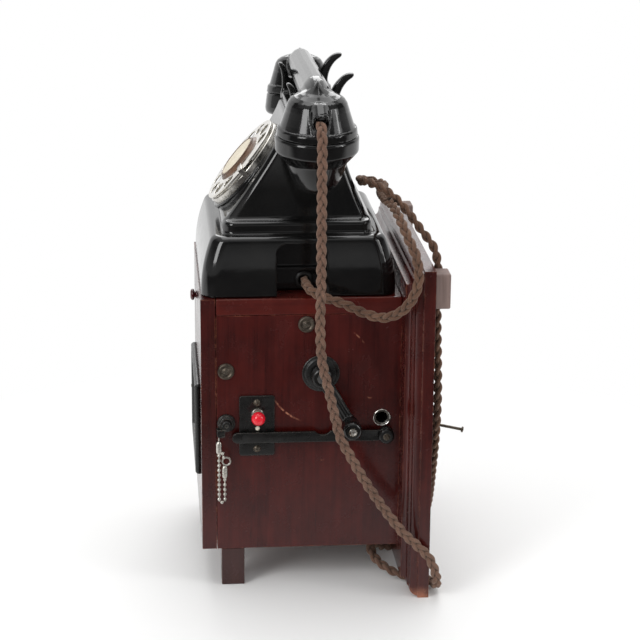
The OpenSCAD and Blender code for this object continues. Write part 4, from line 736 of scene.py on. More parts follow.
DOME = [(-5, 0), (32, 0), (32.3, 0.6), (31.6, 5.6), (30.7, 6.7), (29.6, 7.2), (29.1, 8.6), (28.4, 10.5),
        (26.6, 16), (24.9, 21.5), (23.4, 25.6), (21.2, 28.4), (18, 30.2), (13, 31.6), (-5, 32.4)]
GRIP = [(-6.2, 404.3), (6.2, 404.3), (10.1, 406.5), (12, 411.4), (11.6, 416), (9.2, 420.9), (5.4, 425.2),
        (2.4, 426.8), (-2.4, 426.8), (-5.4, 425.2), (-9.2, 420.9), (-11.6, 416), (-12, 411.4), (-10.1, 406.5)]
GRIP_Z = 408.0
CAVITY_R, CAVITY_HALF, RECEIVER_SCALE = 21.5, 13, 33.5 / 29.5
TAPER_FROM, TAPER_LENGTH, SPOUT_R = 72, 34, 7.2
# How far the fin rises over each dome, at places along X
CREST_X = (-106, -97, -86, -74, -62, 66, 78, 88, 95, 102, 110)
CREST_RISE = (0, 3, 7, 5, 0, 0, 6, 11.5, 10.5, 5, 0)


def leaning(x, z, s):
    """Across and up in the frame of one end, which leans away from the middle."""
    a, b = x - s * END_X, z - CAP_TOP
    return a * math.cos(LEAN) - b * s * math.sin(LEAN), a * s * math.sin(LEAN) + b * math.cos(LEAN)


def handset_form(x, y, z):
    y = y - TOP_Y
    ends, cavities = [], []
    for s, grown in ((1, 1.0), (-1, RECEIVER_SCALE)):
        across, height = leaning(x, z, s)
        r = np.hypot(across, y)
        ends.append(in_polygon(r * grown, height, DOME) / grown)
        cavities.append(np.maximum(r - CAVITY_R, np.abs(height) - CAVITY_HALF))
    # The grip's section shrinks to a round end inside each dome, and its ridge leans to one side
    over = np.clip((np.abs(x) - TAPER_FROM) / TAPER_LENGTH, 0, 0.93)
    size = np.sqrt(1 - over**2)
    rise = z - 0.022 * x * np.clip((z - 404.3) / 22.5, 0, 1)
    inner = [(px * 0.875, GRIP_Z + (pz - GRIP_Z) * 0.92) for px, pz in GRIP]
    grip = (in_polygon(y / size, (rise - GRIP_Z) / size + GRIP_Z, inner) - 1.5) * size
    grip = common(grip, np.abs(x) - TAPER_FROM - TAPER_LENGTH, 3)
    # The ridge ends over each dome in a sharp fin with hollow flanks
    dome = join(ends[0], ends[1], 1)
    crest = np.interp(x, CREST_X, CREST_RISE)
    fin = dome - crest * np.exp(-np.abs(y) / 6.5) * np.clip((z - 404) / 9, 0, 1) ** 1.5
    form = np.minimum(join(dome, grip, 3), fin * 0.6)
    # The cord leaves through a spout, and mouth is how far out along the cord a point lies
    mouth = (x - GLAND[0]) * GLAND_DIR[0] + (z - GLAND[2]) * GLAND_DIR[2]
    aside = np.sqrt(np.maximum((x - GLAND[0]) ** 2 + y**2 + (z - GLAND[2]) ** 2 - mouth**2, 0))
    spout = rod(x, y, z, [tuple(GLAND - 15 * GLAND_DIR - (0, TOP_Y, 0)),
                          tuple(GLAND - 4 * GLAND_DIR - (0, TOP_Y, 0))], (SPOUT_R, SPOUT_R))
    apron = rod(x, y, z, [(END_X + 28.0, 0, 392.5), (END_X + 28.0, 0, 399)], (5.8, 6.6))
    form = join(form, common(join(spout, apron, 2), mouth + 0.2, 1.6), 2.0)
    form = without(form, np.maximum(aside - 5.9, -7 - mouth), 0.5)
    return without(form, np.minimum(*cavities), 0.5)


body_piece("handset_body", handset_form, (-128, -36 + TOP_Y, 380), (130, 36 + TOP_Y, 432), 1.25,
           "bakelite", "handset", "handset_handle")


def cap(points, disc_r, hole_r, z, where):
    """A turned cap with seven sound holes in its flat end."""
    shape = Shape().add(lathe(points), "bakelite", where)
    lines = [circle(disc_r, 72), circle(hole_r, 20)]
    lines += [circle(hole_r, 20, at) for at in circle(0.56 * disc_r, 6)]
    return shape.add(outline_part(lines, 2.0, 0.3), "bakelite", lambda v: where(v + (0, 0, z)))


def on_end(s):
    return place((s * END_X, TOP_Y, CAP_TOP), np.array(Matrix.Rotation(s * LEAN, 3, "Y")))


TRANSMITTER = [(12.4, -45.9), (13.4, -45.8, 1), (16.2, -43, 2), (19.3, -37.4, 4), (22.2, -30, 4),
               (24.9, -21.8, 1.5), (26.6, -20.2, 1.2), (33.1, -12.9, 1.2), (33.5, -11.6, 0.8),
               (33.5, -1.9, 1.1), (32.4, -0.3, 0.7), (20.6, -0.3), (20.6, -10, 1), (21, -19, 3),
               (18, -27.5, 3), (13.8, -36, 3), (12.4, -43)]
RECEIVER = [(14.8, -17.2), (17, -17.4, 1), (22.8, -18.9, 2), (27.6, -18.5, 1.4), (29.6, -16.2, 1.2),
            (30.0, -13, 1.2), (29.1, -6, 3), (28.5, -1.4, 0.8), (27.6, -0.3, 0.5), (20.6, -0.3),
            (20.6, -13, 1), (14.8, -14.8)]
cap(TRANSMITTER, 12.8, 1.7, -45.7, on_end(1)).piece(
    "transmitter_cap_turned", "handset", "transmitter_cap", "bakelite", crease=50)
cap(RECEIVER, 15.2, 2, -17.0, on_end(-1)).piece(
    "receiver_cap_turned", "handset", "receiver_cap", "bakelite", crease=50)
gland = [(4.3, -13), (5.7, -13), (5.7, -6.4), (5.2, -5.9, 0.3), (4.6, -5.9, 0.3), (4.3, -6.3)]
Shape().add(lathe(gland, 48, True), "bakelite_dull", place(GLAND, axes(GLAND_DIR, (0, 1, 0)))).piece(
    "cord_gland", "handset", "handset_gland", "black_metal")

# ---------- telephone case ----------

RIB, WALL = (268.2, 271.0), 4.0
SKIRT_HALF, SKIRT_DEEP, SKIRT_R, SKIRT_INSET = 90, 79.5, 14, 6.6
BOSS_R, BORE_R, PIN_BORE_R, BUSH_BORE_R = 44, 38, 3.3, 5.9
RECESS_Y, RECESS_Z, RECESS_X = -23, 262, 69


def case_form(x, y, z):
    back = y - CASE_Y
    inset = SKIRT_INSET * np.clip((z - 250) / 50, 0, 1) ** 2.2
    skirt = round_box(x, back, SKIRT_HALF - inset, SKIRT_DEEP - 1.5 * inset, SKIRT_R)
    skirt = common(skirt, z - SKIRT_TOP, 5)
    step = common(round_box(x, back, 74, 60.5, 10), z - STEP_TOP, 3.5)
    s = np.clip((z - STEP_TOP) / (PYRAMID_TOP - STEP_TOP), -0.05, 1)
    half = 50 + 16 * (1 - s) ** 2.2
    front = -33 - 50.5 * (1 - s) ** 1.25
    rear = 9 + 24.5 * (1 - s) ** 1.6
    flare = common(round_box(x, y - (front + rear) / 2, half, (rear - front) / 2, 8), z - PYRAMID_TOP, 3)
    form = join(join(skirt, step, 2.5), np.maximum(flare, STEP_TOP - 6 - z), 3)
    local = np.stack([x - DIAL[0], y - DIAL[1], z - DIAL[2]], axis=-1) @ DIAL_TURN
    r = np.hypot(local[..., 0], local[..., 1])
    boss = common(np.maximum(r - BOSS_R, -37 - local[..., 2]), local[..., 2] + 5, 1.4)
    form = join(form, boss, 1.5)
    hole = np.maximum(round_box(y - RECESS_Y, z - RECESS_Z, 20, 31, 9), RECESS_X - np.abs(x))
    rib = np.maximum(np.maximum(RIB[0] - z, z - RIB[1]), np.abs(x) - 74.5)
    form = without(form, without(hole, rib, 0.8), 2.2)
    shell = np.maximum(form, -(form + WALL))
    shell = without(shell, np.maximum(r - BORE_R, -34 - local[..., 2]), 0.6)
    pins = np.maximum(np.hypot(np.abs(x) - PIN_X, y - TOP_Y) - PIN_BORE_R, 370 - z)
    bush = np.maximum(np.hypot(y - RECESS_BUSH[1], z - RECESS_BUSH[2]) - BUSH_BORE_R, np.abs(x - 67) - 6)
    return common(np.maximum(shell, -np.minimum(pins, bush)), 250.3 - z, 0.8)


body_piece("case_shell", case_form, (-93, -108, 247), (93, 58, 391), 1.5, "bakelite", "cabinet",
           "phone_case")

# ---------- cradle ----------

HORN_X, CRADLE_Z, PLATE_THICK = 50.0, 388.2, 5
HORN_HALF, HORN_SLIMMER, STUD = 4.4, 1.3, (3.6, -15.6, 408.5)
FORK = [(-18.2, 389), (-18.2, 406, 4), (-19.4, 412.4, 4), (-21.7, 417.0, 2), (-20.2, 418.6, 1.2),
        (-17.7, 417.4, 2), (-15.1, 414.3, 3), (-13.6, 410, 4), (-12.4, 404.2, 2.4), (12.4, 404.2, 2.4),
        (14.2, 411, 6), (17.6, 417.4, 6), (22.5, 422.9, 6), (28, 426, 5), (33.2, 425.6, 1.4),
        (32.4, 422.9, 1.4), (27.4, 419.4, 5), (23.2, 413.4, 6), (20.8, 406, 6), (20, 389)]


def cradle_form(x, y, z):
    side, back = np.abs(x) - HORN_X, y - TOP_Y
    plate = common(round_box(x, back, 55.5, 19, 9), z - CRADLE_Z - PLATE_THICK, 2.4)
    plate = np.maximum(plate, CRADLE_Z - z)
    slim = np.clip((z - 404) / 22, 0, 1)
    flat = in_polygon(back, z, soften(FORK, closed=True))
    across = np.abs(side) - HORN_HALF + HORN_SLIMMER * slim
    edge = 2.3 - 0.9 * slim
    fork = np.minimum(np.maximum(flat, across), 0) - edge
    fork = np.where((flat > -edge) | (across > -edge),
                    np.hypot(np.maximum(flat + edge, 0), np.maximum(across + edge, 0)) - edge, fork + edge)
    knob = np.sqrt((side - STUD[0]) ** 2 + (back - STUD[1]) ** 2 + (z - STUD[2]) ** 2) - 2.2
    form = join(join(plate, fork, 4), knob, 0.6)
    return np.maximum(form, 3.1 - np.hypot(np.abs(x) - PIN_X, back))


body_piece("cradle_horns", cradle_form, (-61, -40, 386), (61, 26, 430), 0.9, "bakelite", "cabinet",
           "cradle")

# ---------- dial ----------


def torus(r, thick, n, m):
    return lathe(circle(thick, m, (r, 0)), n, True)


def ball(r, n, m):
    return lathe(arc((0, 0), r, -QUARTER, QUARTER, m + 1), n)


def screw_head(r, h, slot_turn=0.0):
    """A raised screw head with a slot, standing on local z 0."""
    def form(x, y, z):
        dome = r * r / (2 * h) + h / 2
        head = np.maximum(np.sqrt(x * x + y * y + (z + dome - h) ** 2) - dome, -z)
        across = x * math.sin(slot_turn) + y * math.cos(slot_turn)
        return without(head, np.maximum(np.abs(across) - 0.09 * r - 0.12, 0.45 * h - z), 0.12)
    verts, quads, _ = surface_of(form, (-r - 0.5, -r - 0.5, -0.5), (r + 0.5, r + 0.5, h + 0.5), 0.22 * r / 3)
    return verts, quads.tolist()


def hole_at(k):
    angle = math.radians(58 + 30 * k)
    return HOLE_R * math.cos(angle), HOLE_R * math.sin(angle)


bezel = [(36.5, -5), (41.5, -5), (41.5, -1.2, 0.4), (40.9, -0.5, 0.4), (39.0, -0.1, 1), (37.2, -0.8, 0.5),
         (36.5, -2.0, 0.6)]
Shape().add(lathe(bezel, 144, True), "nickel", on_dial()).piece(
    "dial_rim", "cabinet", "dial_bezel", "nickel", crease=60)
number_face = Shape()
number_face.add(outline_part([circle(37.8, 96), circle(4.5, 32)], 0.8, 0.15), "ivory", on_dial(-6.2))
for k in range(10):
    number_face.add(digit(str((k + 1) % 10), 7.5, 0.12), "ink",
                    place(on_dial(-5.4)(np.array([*hole_at(k), 0])), DIAL_TURN))
number_face.piece("number_face", "cabinet", "number_plate", "ivory")

finger_disc = Shape()
finger_holes = [circle(5.8, 40, hole_at(k)) for k in range(10)]
finger_disc.add(outline_part([circle(41, 144)] + finger_holes, 1.2, 0.35), "bright", on_dial(1.5))
hub = [(0, -30.2), (2.5, -30.2), (2.5, -4.9), (5.5, -4.9), (5.5, 1.8), (0, 1.8)]
finger_disc.add(lathe(hub, 48), "steel", on_dial())
boss = [(0, 2.4), (22.6, 2.4), (22.5, 2.9, 0.4), (21.2, 4.2, 0.8), (20.5, 4.9, 0.4), (0, 4.9)]
finger_disc.add(lathe(boss, 96), "brown", on_dial())
finger_disc.piece("finger_disc", "dial", "finger_plate", "nickel")
card = [(0, 4.95), (18.4, 4.95), (18.4, 5.7), (18.1, 5.85, 0.2), (0, 5.85)]
ring = [(18.5, 4.95), (20, 4.95), (20, 5.8, 0.4), (19.4, 6.25, 0.3), (18.8, 6.2, 0.2), (18.4, 5.8)]
label = Shape().add(lathe(card, 96), "card", on_dial()).add(lathe(ring, 96, True), "brown", on_dial())
label.piece("label_holder", "dial", "dial_label", "card")
STOP_BEND, STOP_END = 42.1, 43.9
finger_stop = [(27, -2.5), (41, -2.5), (STOP_END, -1.8), (STOP_END, 1.8), (41, 2.5), (27, 2.5)]
stop = Shape().add(outline_part([finger_stop], 1.3, 0.4), "nickel", on_dial(3.2, -2))
hook = ((STOP_BEND, -2.2), (STOP_END, -1.8), (STOP_END, 1.8), (STOP_BEND, 2.2))
stop.add(rings([[(a, b, h) for a, b in hook] for h in (-5, 3.8)]), "nickel", on_dial(0, -2))
stop.piece("stop_hook", "cabinet", "finger_stop", "nickel", bevel=0.2)

# ---------- crank ----------

ARM_DIR = (0, math.cos(CRANK_ANGLE - QUARTER), math.sin(CRANK_ANGLE - QUARTER))
CRANK_AXES = axes((1, 0, 0), ARM_DIR)
on_crank = place((ARM_X, CRANK_Y, CRANK_Z), CRANK_AXES)


def arm_form(u, v, w):
    half = 5.6 - u * 0.022
    arm = np.maximum(round_box(v, w - 2.5, half, 2.5, 1.1), np.abs(u - CRANK_R / 2) - CRANK_R / 2)
    for side in (-1, 1):
        arm = without(arm, np.hypot(v - side * 0.47 * half, w - 6.0) - 1.7, 0.35)
    hub_r = np.interp(w, (-3, 4.6, 5.6, 6.6), (8.5, 8.5, 8.1, 6.9))
    hub = np.maximum(np.hypot(u, v) - hub_r, np.abs(w - 1.8) - 4.8)
    tip = common(np.hypot(u - CRANK_R, v) - 5.6, np.abs(w - 3) - 3, 1.0)
    form = join(join(arm, hub, 1.6), tip, 1.6)
    form = np.maximum(form, 4.02 - np.hypot(u, v))
    return np.maximum(form, 2.05 - np.hypot(u - CRANK_R, v))


verts, quads, _ = surface_of(arm_form, (-10, -10, -4), (CRANK_R + 7.5, 10, 8), 0.5)
Shape().add((verts, quads.tolist()), "japan", on_crank).piece(
    "fluted_arm", "crank", "crank_arm", "black_metal")
escutcheon = [(7.2, 0), (15.3, 0), (15.5, 1.0, 0.3), (14.6, 1.5, 0.4), (13.4, 1.7, 0.4), (12.6, 2.7, 0.8),
              (10.6, 3.2, 0.8), (9.4, 3.5, 0.4), (7.2, 3.5)]
Shape().add(lathe(escutcheon, 96, True), "japan", on_side(CRANK_Y, CRANK_Z)).piece(
    "escutcheon_turned", "cabinet", "escutcheon", "black_metal", crease=45)
on_knob = place(on_crank(np.array([CRANK_R, 0, 0])), CRANK_AXES)
knob = Shape().add(lathe([(2.1, 6.3), (6.0, 6.3), (6.9, 7.4, 0.5), (6.6, 8.6)], 96), "bakelite", on_knob)
FLUTES, FLUTE_DEEP, ROUND_KNOB = 20, 0.22, 160
barrel = [[((r + FLUTE_DEEP * f * math.cos(FLUTES * q)) * math.cos(q),
            (r + FLUTE_DEEP * f * math.cos(FLUTES * q)) * math.sin(q), z)
           for q in np.arange(ROUND_KNOB) * PI2 / ROUND_KNOB]
          for r, z, f in ((6.4, 8.5, 0), (6.6, 9.2, 0.6), (6.9, 12, 1), (7.3, 15.5, 1), (7.7, 19, 1),
                          (7.95, 22.5, 1), (7.8, 24.6, 0.6), (7.4, 25.6, 0), (6.6, 26.7, 0), (5.6, 27.2, 0))]
knob.add(tube(barrel), "bakelite", on_knob)
knob.add(lathe([(5.6, 27.2), (5.0, 27.3), (2.1, 27.3), (2.1, 6.3)], ROUND_KNOB), "bakelite", on_knob)
knob.piece("crank_knob_turned", "knob", "crank_knob", "bakelite", crease=45)
spindle = Shape().add(cylinder(2, 0.2, 27.6, 32), "steel", on_knob)
spindle.add(lathe([(0, 27.5), (3.5, 27.5), (3.5, 28.1)], 48), "nickel", on_knob)
spindle.add(screw_head(3.5, 1.2, 0.6), "nickel", place(on_knob(np.array([0, 0, 27.4])), CRANK_AXES))
spindle.piece("knob_screw", "crank", "knob_spindle", "steel")

# ---------- fittings on the right side ----------

at_button, at_pivot, at_eyelet = on_side(BUTTON_Y, BUTTON_Z), on_side(BAR_Y, BAR_Z), on_side(*EYELET)
SHAFT_HOLE = 2.7
fittings = Shape()
plate = soften([(-14.5, -26, 2.5), (14.5, -26, 2.5), (14.5, 26, 2.5), (-14.5, 26, 2.5)], closed=True)
shaft_hole = circle(SHAFT_HOLE, 32, (BUTTON_Y - PLATE_Y, BUTTON_Z - PLATE_Z))
fittings.add(outline_part([plate, shaft_hole], 2.0, 0.7), "japan", on_side(PLATE_Y, PLATE_Z))
bush = [(SHAFT_HOLE, 1.9), (5.2, 1.9), (4.9, 2.9, 0.3), (4.0, 3.2, 0.3), (SHAFT_HOLE, 3.2)]
fittings.add(lathe(bush, 48, True), "nickel", at_button)
# painted highlight: a small ivory ball on the plate below the button stands in for a pale glint seen there
fittings.add(ball(1.9, 24, 12), "ivory", on_side(BUTTON_Y, BUTTON_Z - 12.2, SIDE_X + 2.2))
fittings.piece("button_plate_rounded", "cabinet", "button_plate", "black_metal")
button = Shape().add(ball(5.75, 48, 24), "red", on_side(BUTTON_Y, BUTTON_Z, SIDE_X + 12.75))
shaft = [(0, -18), (4.6, -18), (4.6, -15), (2.6, -15), (2.6, 7.6), (0, 7.6)]
collar = [(2.6, 7.3), (3.4, 7.4, 0.2), (3.9, 8.0, 0.3), (2.6, 8.4)]
button.add(lathe(shaft, 32), "ivory", at_button).add(lathe(collar, 32, True), "ivory", at_button)
button.piece("red_push", "button", "button_cap", "button_red")

# The bar's outline: its round pivot end, the hollow in its upper edge, and its round free end
bar_line = arc((BAR_Y, BAR_Z), 6.5, -2.38, 2.38, 28)
bar_line += arc((-6, 143), 8.5, math.radians(-40.3), math.radians(-139.7), 16)
bar_line += arc((BAR_Y - BAR_L + BAR_W / 2, BAR_Z), BAR_W / 2, QUARTER, 3 * QUARTER, 16)
Shape().add(outline_part([bar_line, circle(3.05, 32, (BAR_Y, BAR_Z))], BAR_T, 0.55), "japan",
            on_side(0, 0, BAR_X)).piece("lock_bar_rounded", "bar", "lock_bar", "black_metal")
pivot = [(0, -8), (2, -8), (2, 0), (6, 0), (6, 2.6, 0.4), (5.2, 3.4, 0.4), (3, 3.4), (3, 7.0), (6.0, 7.0),
         (6.5, 7.4, 0.4), (6.5, 9.6, 0.8), (5.2, 11, 0.8), (0, 11)]
Shape().add(lathe(pivot, 64), "japan", at_pivot).add(
    screw_head(3.2, 1.0, 0.9), "screw", on_side(BAR_Y, BAR_Z, SIDE_X + 10.9)).piece(
    "bar_pivot_turned", "cabinet", "bar_pivot", "black_metal")
sleeve = [(4.8, -12), (5.4, -12), (5.4, 0), (6.2, 0), (6.2, 0.7), (4.8, -0.6)]
lip = [(6.2, 0), (7.4, 0), (7.4, 0.7, 0.3), (6.8, 1.2, 0.3), (6.2, 0.7, 0.2)]
Shape().add(lathe(sleeve, 64, True), "japan", at_eyelet).add(lathe(lip, 64, True), "bright", at_eyelet).piece(
    "eyelet_turned", "cabinet", "eyelet_ring", "nickel")
stud = [(0, -8), (2, -8), (2, 0), (7.6, 0), (7.6, 1.9, 0.5), (6.9, 2.6, 0.4), (6.2, 2.7), (6.0, 3.6, 0.4),
        (5.2, 4.4, 0.3), (4.7, 4.5), (4.5, 6.8, 0.6), (3.9, 8.4, 0.7), (3.1, 9, 0.4), (1.4, 9), (1.2, 8.5),
        (0, 8.5)]
keeper = Shape().add(lathe(stud, 64), "japan", on_side(KEEPER_Y, KEEPER_Z))
low, front, rear = KEEPER_Z - 9.5, CHAIN_Y - 1.5, KEEPER_Y - 1.4
lug = soften([(front, KEEPER_Z - 3), (front, low, 2), (rear, low, 2), (rear, KEEPER_Z - 3)])
lug_hole = circle(0.7, 20, (KEEPER_Y - 3.2, KEEPER_Z - 7.6))
keeper.add(outline_part([lug, lug_hole], 7.0, 0.3), "japan", on_side(0, 0, SIDE_X + 3))
keeper.piece("chain_keeper_turned", "cabinet", "chain_keeper", "black_metal")

BEAD, PITCH, LONG_SIDE, SHORT_SIDE = 1.6, 4.24, 10, 5
top_z, far_y = KEEPER_Z - 24, CHAIN_Y + 2.9 * BEAD
turn_z = top_z - PITCH * SHORT_SIDE
ring_z = turn_z + 14.6
connector = [(0, 0.2), (1.5, 0.2), (2.4, 1.6, 0.8), (2.4, 9.6, 0.8), (1.5, 11.2), (0, 11.2)]
chain = Shape()


def link(part, y, z, turn=None):
    chain.add(part, "chain", place((CHAIN_X, y, z), turn))


for y, start, count in ((CHAIN_Y, top_z, LONG_SIDE), (far_y, turn_z, SHORT_SIDE)):
    link(cylinder(0.5, -PITCH * (count - 1) - 2 * BEAD, 0, 12), y, start)
    for k in range(count):
        link(ball(BEAD, 20, 12), y, start - (PITCH * k + BEAD - 0.5))
    link(lathe(connector, 24), y, start)
link(ball(BEAD, 20, 12), CHAIN_Y + 1.45 * BEAD, top_z - PITCH * LONG_SIDE + BEAD / 2 - 0.5)
link(cylinder(0.6, 11.3, 14.3, 12), CHAIN_Y, top_z)
link(torus(3.3, 0.75, 36, 10), far_y + 1.4, ring_z + 0.4, axes((1, 0, 0), (0, 1, 0)))
for k in (0, 1):
    link(ball(BEAD, 20, 12), far_y - 0.8 - 0.9 * k, ring_z + 3.9 + 3.4 * k)
chain.piece("ball_chain_beads", "cabinet", "ball_chain", "nickel")

screws = Shape()
cup = [(1.6, -12), (1.6, 0), (6.9, 0), (7.0, 0.7, 0.3), (6.3, 1.9, 0.6), (5.4, 2.4, 0.5), (4.5, 2.1, 0.4),
       (3.8, 1.5), (1.2, 1.4)]
for (y, z), turn in zip(CUP_SCREWS, (0.5, 2.2)):
    screws.add(lathe(cup, 64), "screw", on_side(y, z))
    screws.add(screw_head(3.5, 1.5, turn), "screw", on_side(y, z, SIDE_X + 1.45))
for side in (-1, 1):
    z = PLATE_Z + 20 * side
    screws.add(cylinder(1.2, -7, 0.2, 16), "screw", on_side(PLATE_Y, z, SIDE_X + 2))
    screws.add(screw_head(3.2, 1.9, 0.4 + side), "screw", on_side(PLATE_Y, z, SIDE_X + 1.9))
screws.piece("slotted_screws", "cabinet", "panel_screws", "screw", crease=50)

# ---------- backboard ----------


def board_ring(inset, depth):
    """The board's outline with its arch, inset and at a depth in front of the board's back."""
    x, top, y, foot = BOARD_HALF - inset, BOARD_TOP - inset, BOARD_BACK - depth, min(inset, ARCH_TOP)
    return [(-x, y, foot), (-ARCH_HALF, y, foot), (-ARCH_HALF, y, ARCH_TOP), (ARCH_HALF, y, ARCH_TOP),
            (ARCH_HALF, y, foot), (x, y, foot), (x, y, top), (-x, y, top)]


quarter = np.linspace(0, QUARTER, 9)
ogee = [(0, 0), (0, 9.0), (0.5, 9.5)]
ogee += [(1.68 + 5.6 * (1 - math.cos(q)), 9.5 + 6.25 * math.sin(q)) for q in quarter]
ogee += [(8.68 + 5.32 * math.sin(q), 17.25 + 4.75 * (1 - math.cos(q))) for q in quarter]
levels = [board_ring(inset, depth) for inset, depth in ogee]
board = Shape().add(tube(levels), "board")
for level, outward in ((levels[0], 1), (levels[-1], -1)):
    y = level[0][1]
    lines = [[(x, z) for x, _, z in level]] + [circle(BOARD_HOLE_R, 24, spot) for spot in BOARD_HOLES]
    spots = [(x, y, z) for line in lines for x, z in line]
    triangles = tessellate_polygon([[Vector((x, z, 0)) for x, z in line] for line in lines])
    board.add((spots, [list(t)[::outward] for t in triangles]), "board")
for spot in BOARD_HOLES:
    ring = circle(BOARD_HOLE_R, 24, spot)
    verts, faces = tube([[(x, y, z) for x, z in ring] for y in (BOX_BACK, BOARD_BACK)])
    board.add((verts, [face[::-1] for face in faces]), "inside")


def welded(obj):
    """Joins a piece's doubled points, and turns its faces outwards."""
    bm = bmesh.new()
    bm.from_mesh(obj.data)
    bmesh.ops.remove_doubles(bm, verts=bm.verts, dist=1e-6)
    bmesh.ops.recalc_face_normals(bm, faces=bm.faces)
    bm.to_mesh(obj.data)
    bm.free()
    return obj


add_bevel(welded(board.piece("moulded_board", "cabinet", "backboard", "wood_red", crease=30)), 0.7)

# ---------- front door ----------


def frame_part(profile, half_w, half_h, r):
    """A closed profile of (inset, height) points run round a rectangle with round corners."""
    levels = []
    for inset, height in profile:
        a, b, q = half_w - inset, half_h - inset, max(r - inset, 0.15)
        corners = [(a - q, -b + q, -90), (a - q, b - q, 0), (-a + q, b - q, 90), (-a + q, -b + q, 180)]
        levels.append([(cx + q * math.cos(math.radians(t)), cy + q * math.sin(math.radians(t)), height)
                       for cx, cy, start in corners for t in np.linspace(start, start + 90, 7)])
    return tube(levels + levels[:1])


on_door = axes((0, -1, 0), (1, 0, 0))
rim = soften([(0, 0), (0, 2.6, 0.8), (1.6, 4.5, 0.8), (5.0, 4.3, 0.8), (7, 1.8, 0.6), (7, 0)], closed=True)
notice = Shape().add(frame_part(rim, 60, 40, 2), "japan", place((0, DOOR_FRONT, NOTICE_Z), on_door))
for x in (-56.5, 56.5):
    notice.add(screw_head(1.9, 0.7, x), "screw", place((x, DOOR_FRONT - 4.2, NOTICE_Z), on_door))
welded(notice.piece("notice_rim", "door", "notice_frame", "black_metal", crease=50))
door_knob = [(0, -7), (2, -7), (2, 0.2), (3.6, 0.2, 0.4), (3.4, 1.0, 0.4), (2.4, 1.6, 0.4), (2.6, 2.2, 0.4),
             (4.6, 2.8, 0.8), (5, 4.0, 0.9), (4.4, 5.3, 0.8), (2.6, 6, 0.6), (0, 6)]
Shape().add(lathe(door_knob, 64), "knob_red", place((0, DOOR_FRONT, DOOR_KNOB_Z), on_door)).piece(
    "turned_door_knob", "door", "door_knob", "wood_red")

# ---------- bushes ----------

bushes = Shape()
for spot, out, neck in ((RECESS_BUSH, (1, 0, 0), 3), *((spot, (0, 0, -1), 12) for spot in UNDER_BUSHES)):
    bush = [(3.9, -neck), (5.7, -neck), (5.7, 0), (7.75, 0), (7.6, 0.9, 0.4), (6.4, 1.6, 0.5),
            (5.2, 2.0, 0.4), (4.4, 1.6, 0.3), (3.9, 0.8)]
    bushes.add(lathe(bush, 48, True), "bakelite_dull", place(spot, axes(out, (0, 1, 0))))
bushes.piece("cord_bush_rings", "cabinet", "cord_bushes", "bakelite")

# ---------- CAD parts that keep their shape ----------

KEPT = {
    "side_panel_right": ("panel", 0.9), "side_panel_left": ("panel_left", 0.9), "top_board": ("across", 1.1),
    "bottom_board": ("inside", 0.6), "front_legs": ("leg", 0.8), "wall_spacers": ("spacer", 1.6),
    "hanging_nail": ("screw", 0), "front_door": ("door", 0.9), "notice_card": ("card", 0),
    "notice_glass": ("glass", 0), "hinge_box_leaves": ("brass", 0.2), "hinge_door_leaves": ("brass", 0.2),
    "base_plate": ("japan", 0.4), "cradle_plungers": ("bakelite_dull", 0.4), "hook_switch": ("brass", 0.2),
    "dial_mechanism": ("brass", 0.3), "transmitter_capsule": ("brass", 0.4),
    "receiver_capsule": ("steel", 0.4), "crank_bush": ("brass", 0.3), "crank_shaft": ("steel", 0.25),
    "generator_shelf": ("inside", 0.8), "generator_frame": ("brass", 0.5),
    "generator_magnets": ("magnet", 0.8), "armature": ("steel", 0.25), "button_contacts": ("brass", 0.3),
    "bell_gongs": ("nickel", 0.5), "ringer_frame": ("steel", 0.5), "ringer_coils": ("winding", 0.4),
    "bell_clapper": ("brass", 0.3), "dry_cells": ("cell", 0.8), "condenser": ("steel", 0.6),
}
for name, (finish, width) in KEPT.items():
    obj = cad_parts[name]
    obj.data.materials.clear()
    obj.data.materials.append(M[finish])
    weld = obj.modifiers.new("weld", "WELD")
    weld.merge_threshold = 0.00001
    if width:
        add_bevel(obj, width)

# ---------- floor, background and light ----------

DARK_AHEAD, GLOW_REACH, GLOW_BEHIND = (0.14, 0.5), (0.2, 0.5), (0.0, -0.4)
FLOOR_HALF = 9
floor = material("floor")
paper_white = floor.blend(floor.noise(6, 3, 0.5), (0.90, 0.90, 0.895), (0.92, 0.92, 0.915))
floor_x = floor.split(floor.coords)[0]
floor_rays = floor.new("ShaderNodeLightPath").outputs
reach = floor.new("ShaderNodeVectorMath", operation="LENGTH")
floor.put(floor.coords, reach.inputs[0])
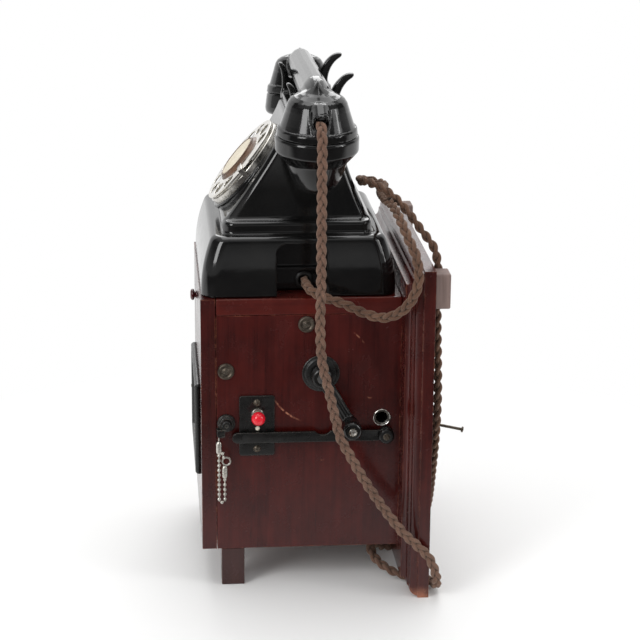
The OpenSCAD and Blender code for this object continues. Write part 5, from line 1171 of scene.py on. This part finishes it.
# The floor fades to white far out; in reflections it is dark on the side of +X and glows on the side of -X
ahead = floor.times(floor.span(floor_x, *DARK_AHEAD), floor_rays["Is Glossy Ray"])
behind = floor.times(floor.span(floor_x, *GLOW_BEHIND), floor_rays["Is Glossy Ray"])
far = floor.times(floor.span(reach.outputs["Value"], *GLOW_REACH), floor_rays["Is Camera Ray"])
floor.set(Base_Color=floor.blend(ahead, paper_white, (0.05, 0.045, 0.045)), Roughness=0.7)
mixer, white = floor.new("ShaderNodeMixShader"), floor.new("ShaderNodeEmission")
glowing = floor.plus(far, behind, True)
for socket, source in zip(mixer.inputs, (glowing, floor.shader.outputs[0], white.outputs[0])):
    floor.put(source, socket)
floor.put(mixer.outputs[0], floor.tree.nodes["Material Output"].inputs["Surface"])
mesh = bpy.data.meshes.new("floor")
corners = [(x * FLOOR_HALF, y * FLOOR_HALF, 0) for x, y in ((-1, -1), (1, -1), (1, 1), (-1, 1))]
mesh.from_pydata(corners, [], [(0, 1, 2, 3)])
mesh.materials.append(floor.owner)
settle(mesh, "floor", None, None)

# The world is white to the camera, an even grey to matt surfaces and a dark room with a lit side to gloss
DIFFUSE_LEVEL = 0.60
scene.world = bpy.data.worlds.new("studio")
sky = Nodes(scene.world, "Generated")
rays = sky.new("ShaderNodeLightPath").outputs
sky_x, _, sky_z = sky.split(sky.coords)
gloss = sky.span(sky_z, 0.32, 0.1, 0.08, 0.42)
for glow in (sky.span(sky_x, -0.40, -0.50), sky.span(sky_z, 0.55, 0.95, 0.0, 0.9)):
    gloss = sky.math("MAXIMUM", gloss, glow)
level = sky.span(rays["Is Glossy Ray"], 0, 1, DIFFUSE_LEVEL, gloss)
clear = sky.math("MAXIMUM", rays["Is Camera Ray"], rays["Is Transmission Ray"])
backdrop = sky.tree.nodes["Background"]
sky.put((1, 1, 1, 1), backdrop.inputs["Color"])
sky.put(sky.span(clear, 0, 1, level, 1.0), backdrop.inputs["Strength"])

LAMPS = (("key", (1.35, -1.45, 1.2), 0.75, 1.3, 20), ("top", (-0.5, 0.1, 2.2), 1.7, 1.7, 17),
         ("back", (-1.9, 0.2, 1.5), 1.4, 1.0, 13), ("rear", (0.9, 1.7, 1.2), 1.0, 1.0, 6),
         ("strip", (0.75, 1.55, 0.9), 0.14, 1.1, 3.0))
LAMP_AIM = Vector((0, 0, 0.2))
for name, spot, width, height, watts in LAMPS:
    lamp = bpy.data.objects.new(name, bpy.data.lights.new(name, "AREA"))
    lamp.data.shape = "RECTANGLE"
    lamp.data.size, lamp.data.size_y, lamp.data.energy = width, height, watts
    lamp.location = spot
    lamp.rotation_euler = (LAMP_AIM - Vector(spot)).to_track_quat("-Z", "Y").to_euler()
    scene.collection.objects.link(lamp)

scene.view_settings.view_transform = "Standard"
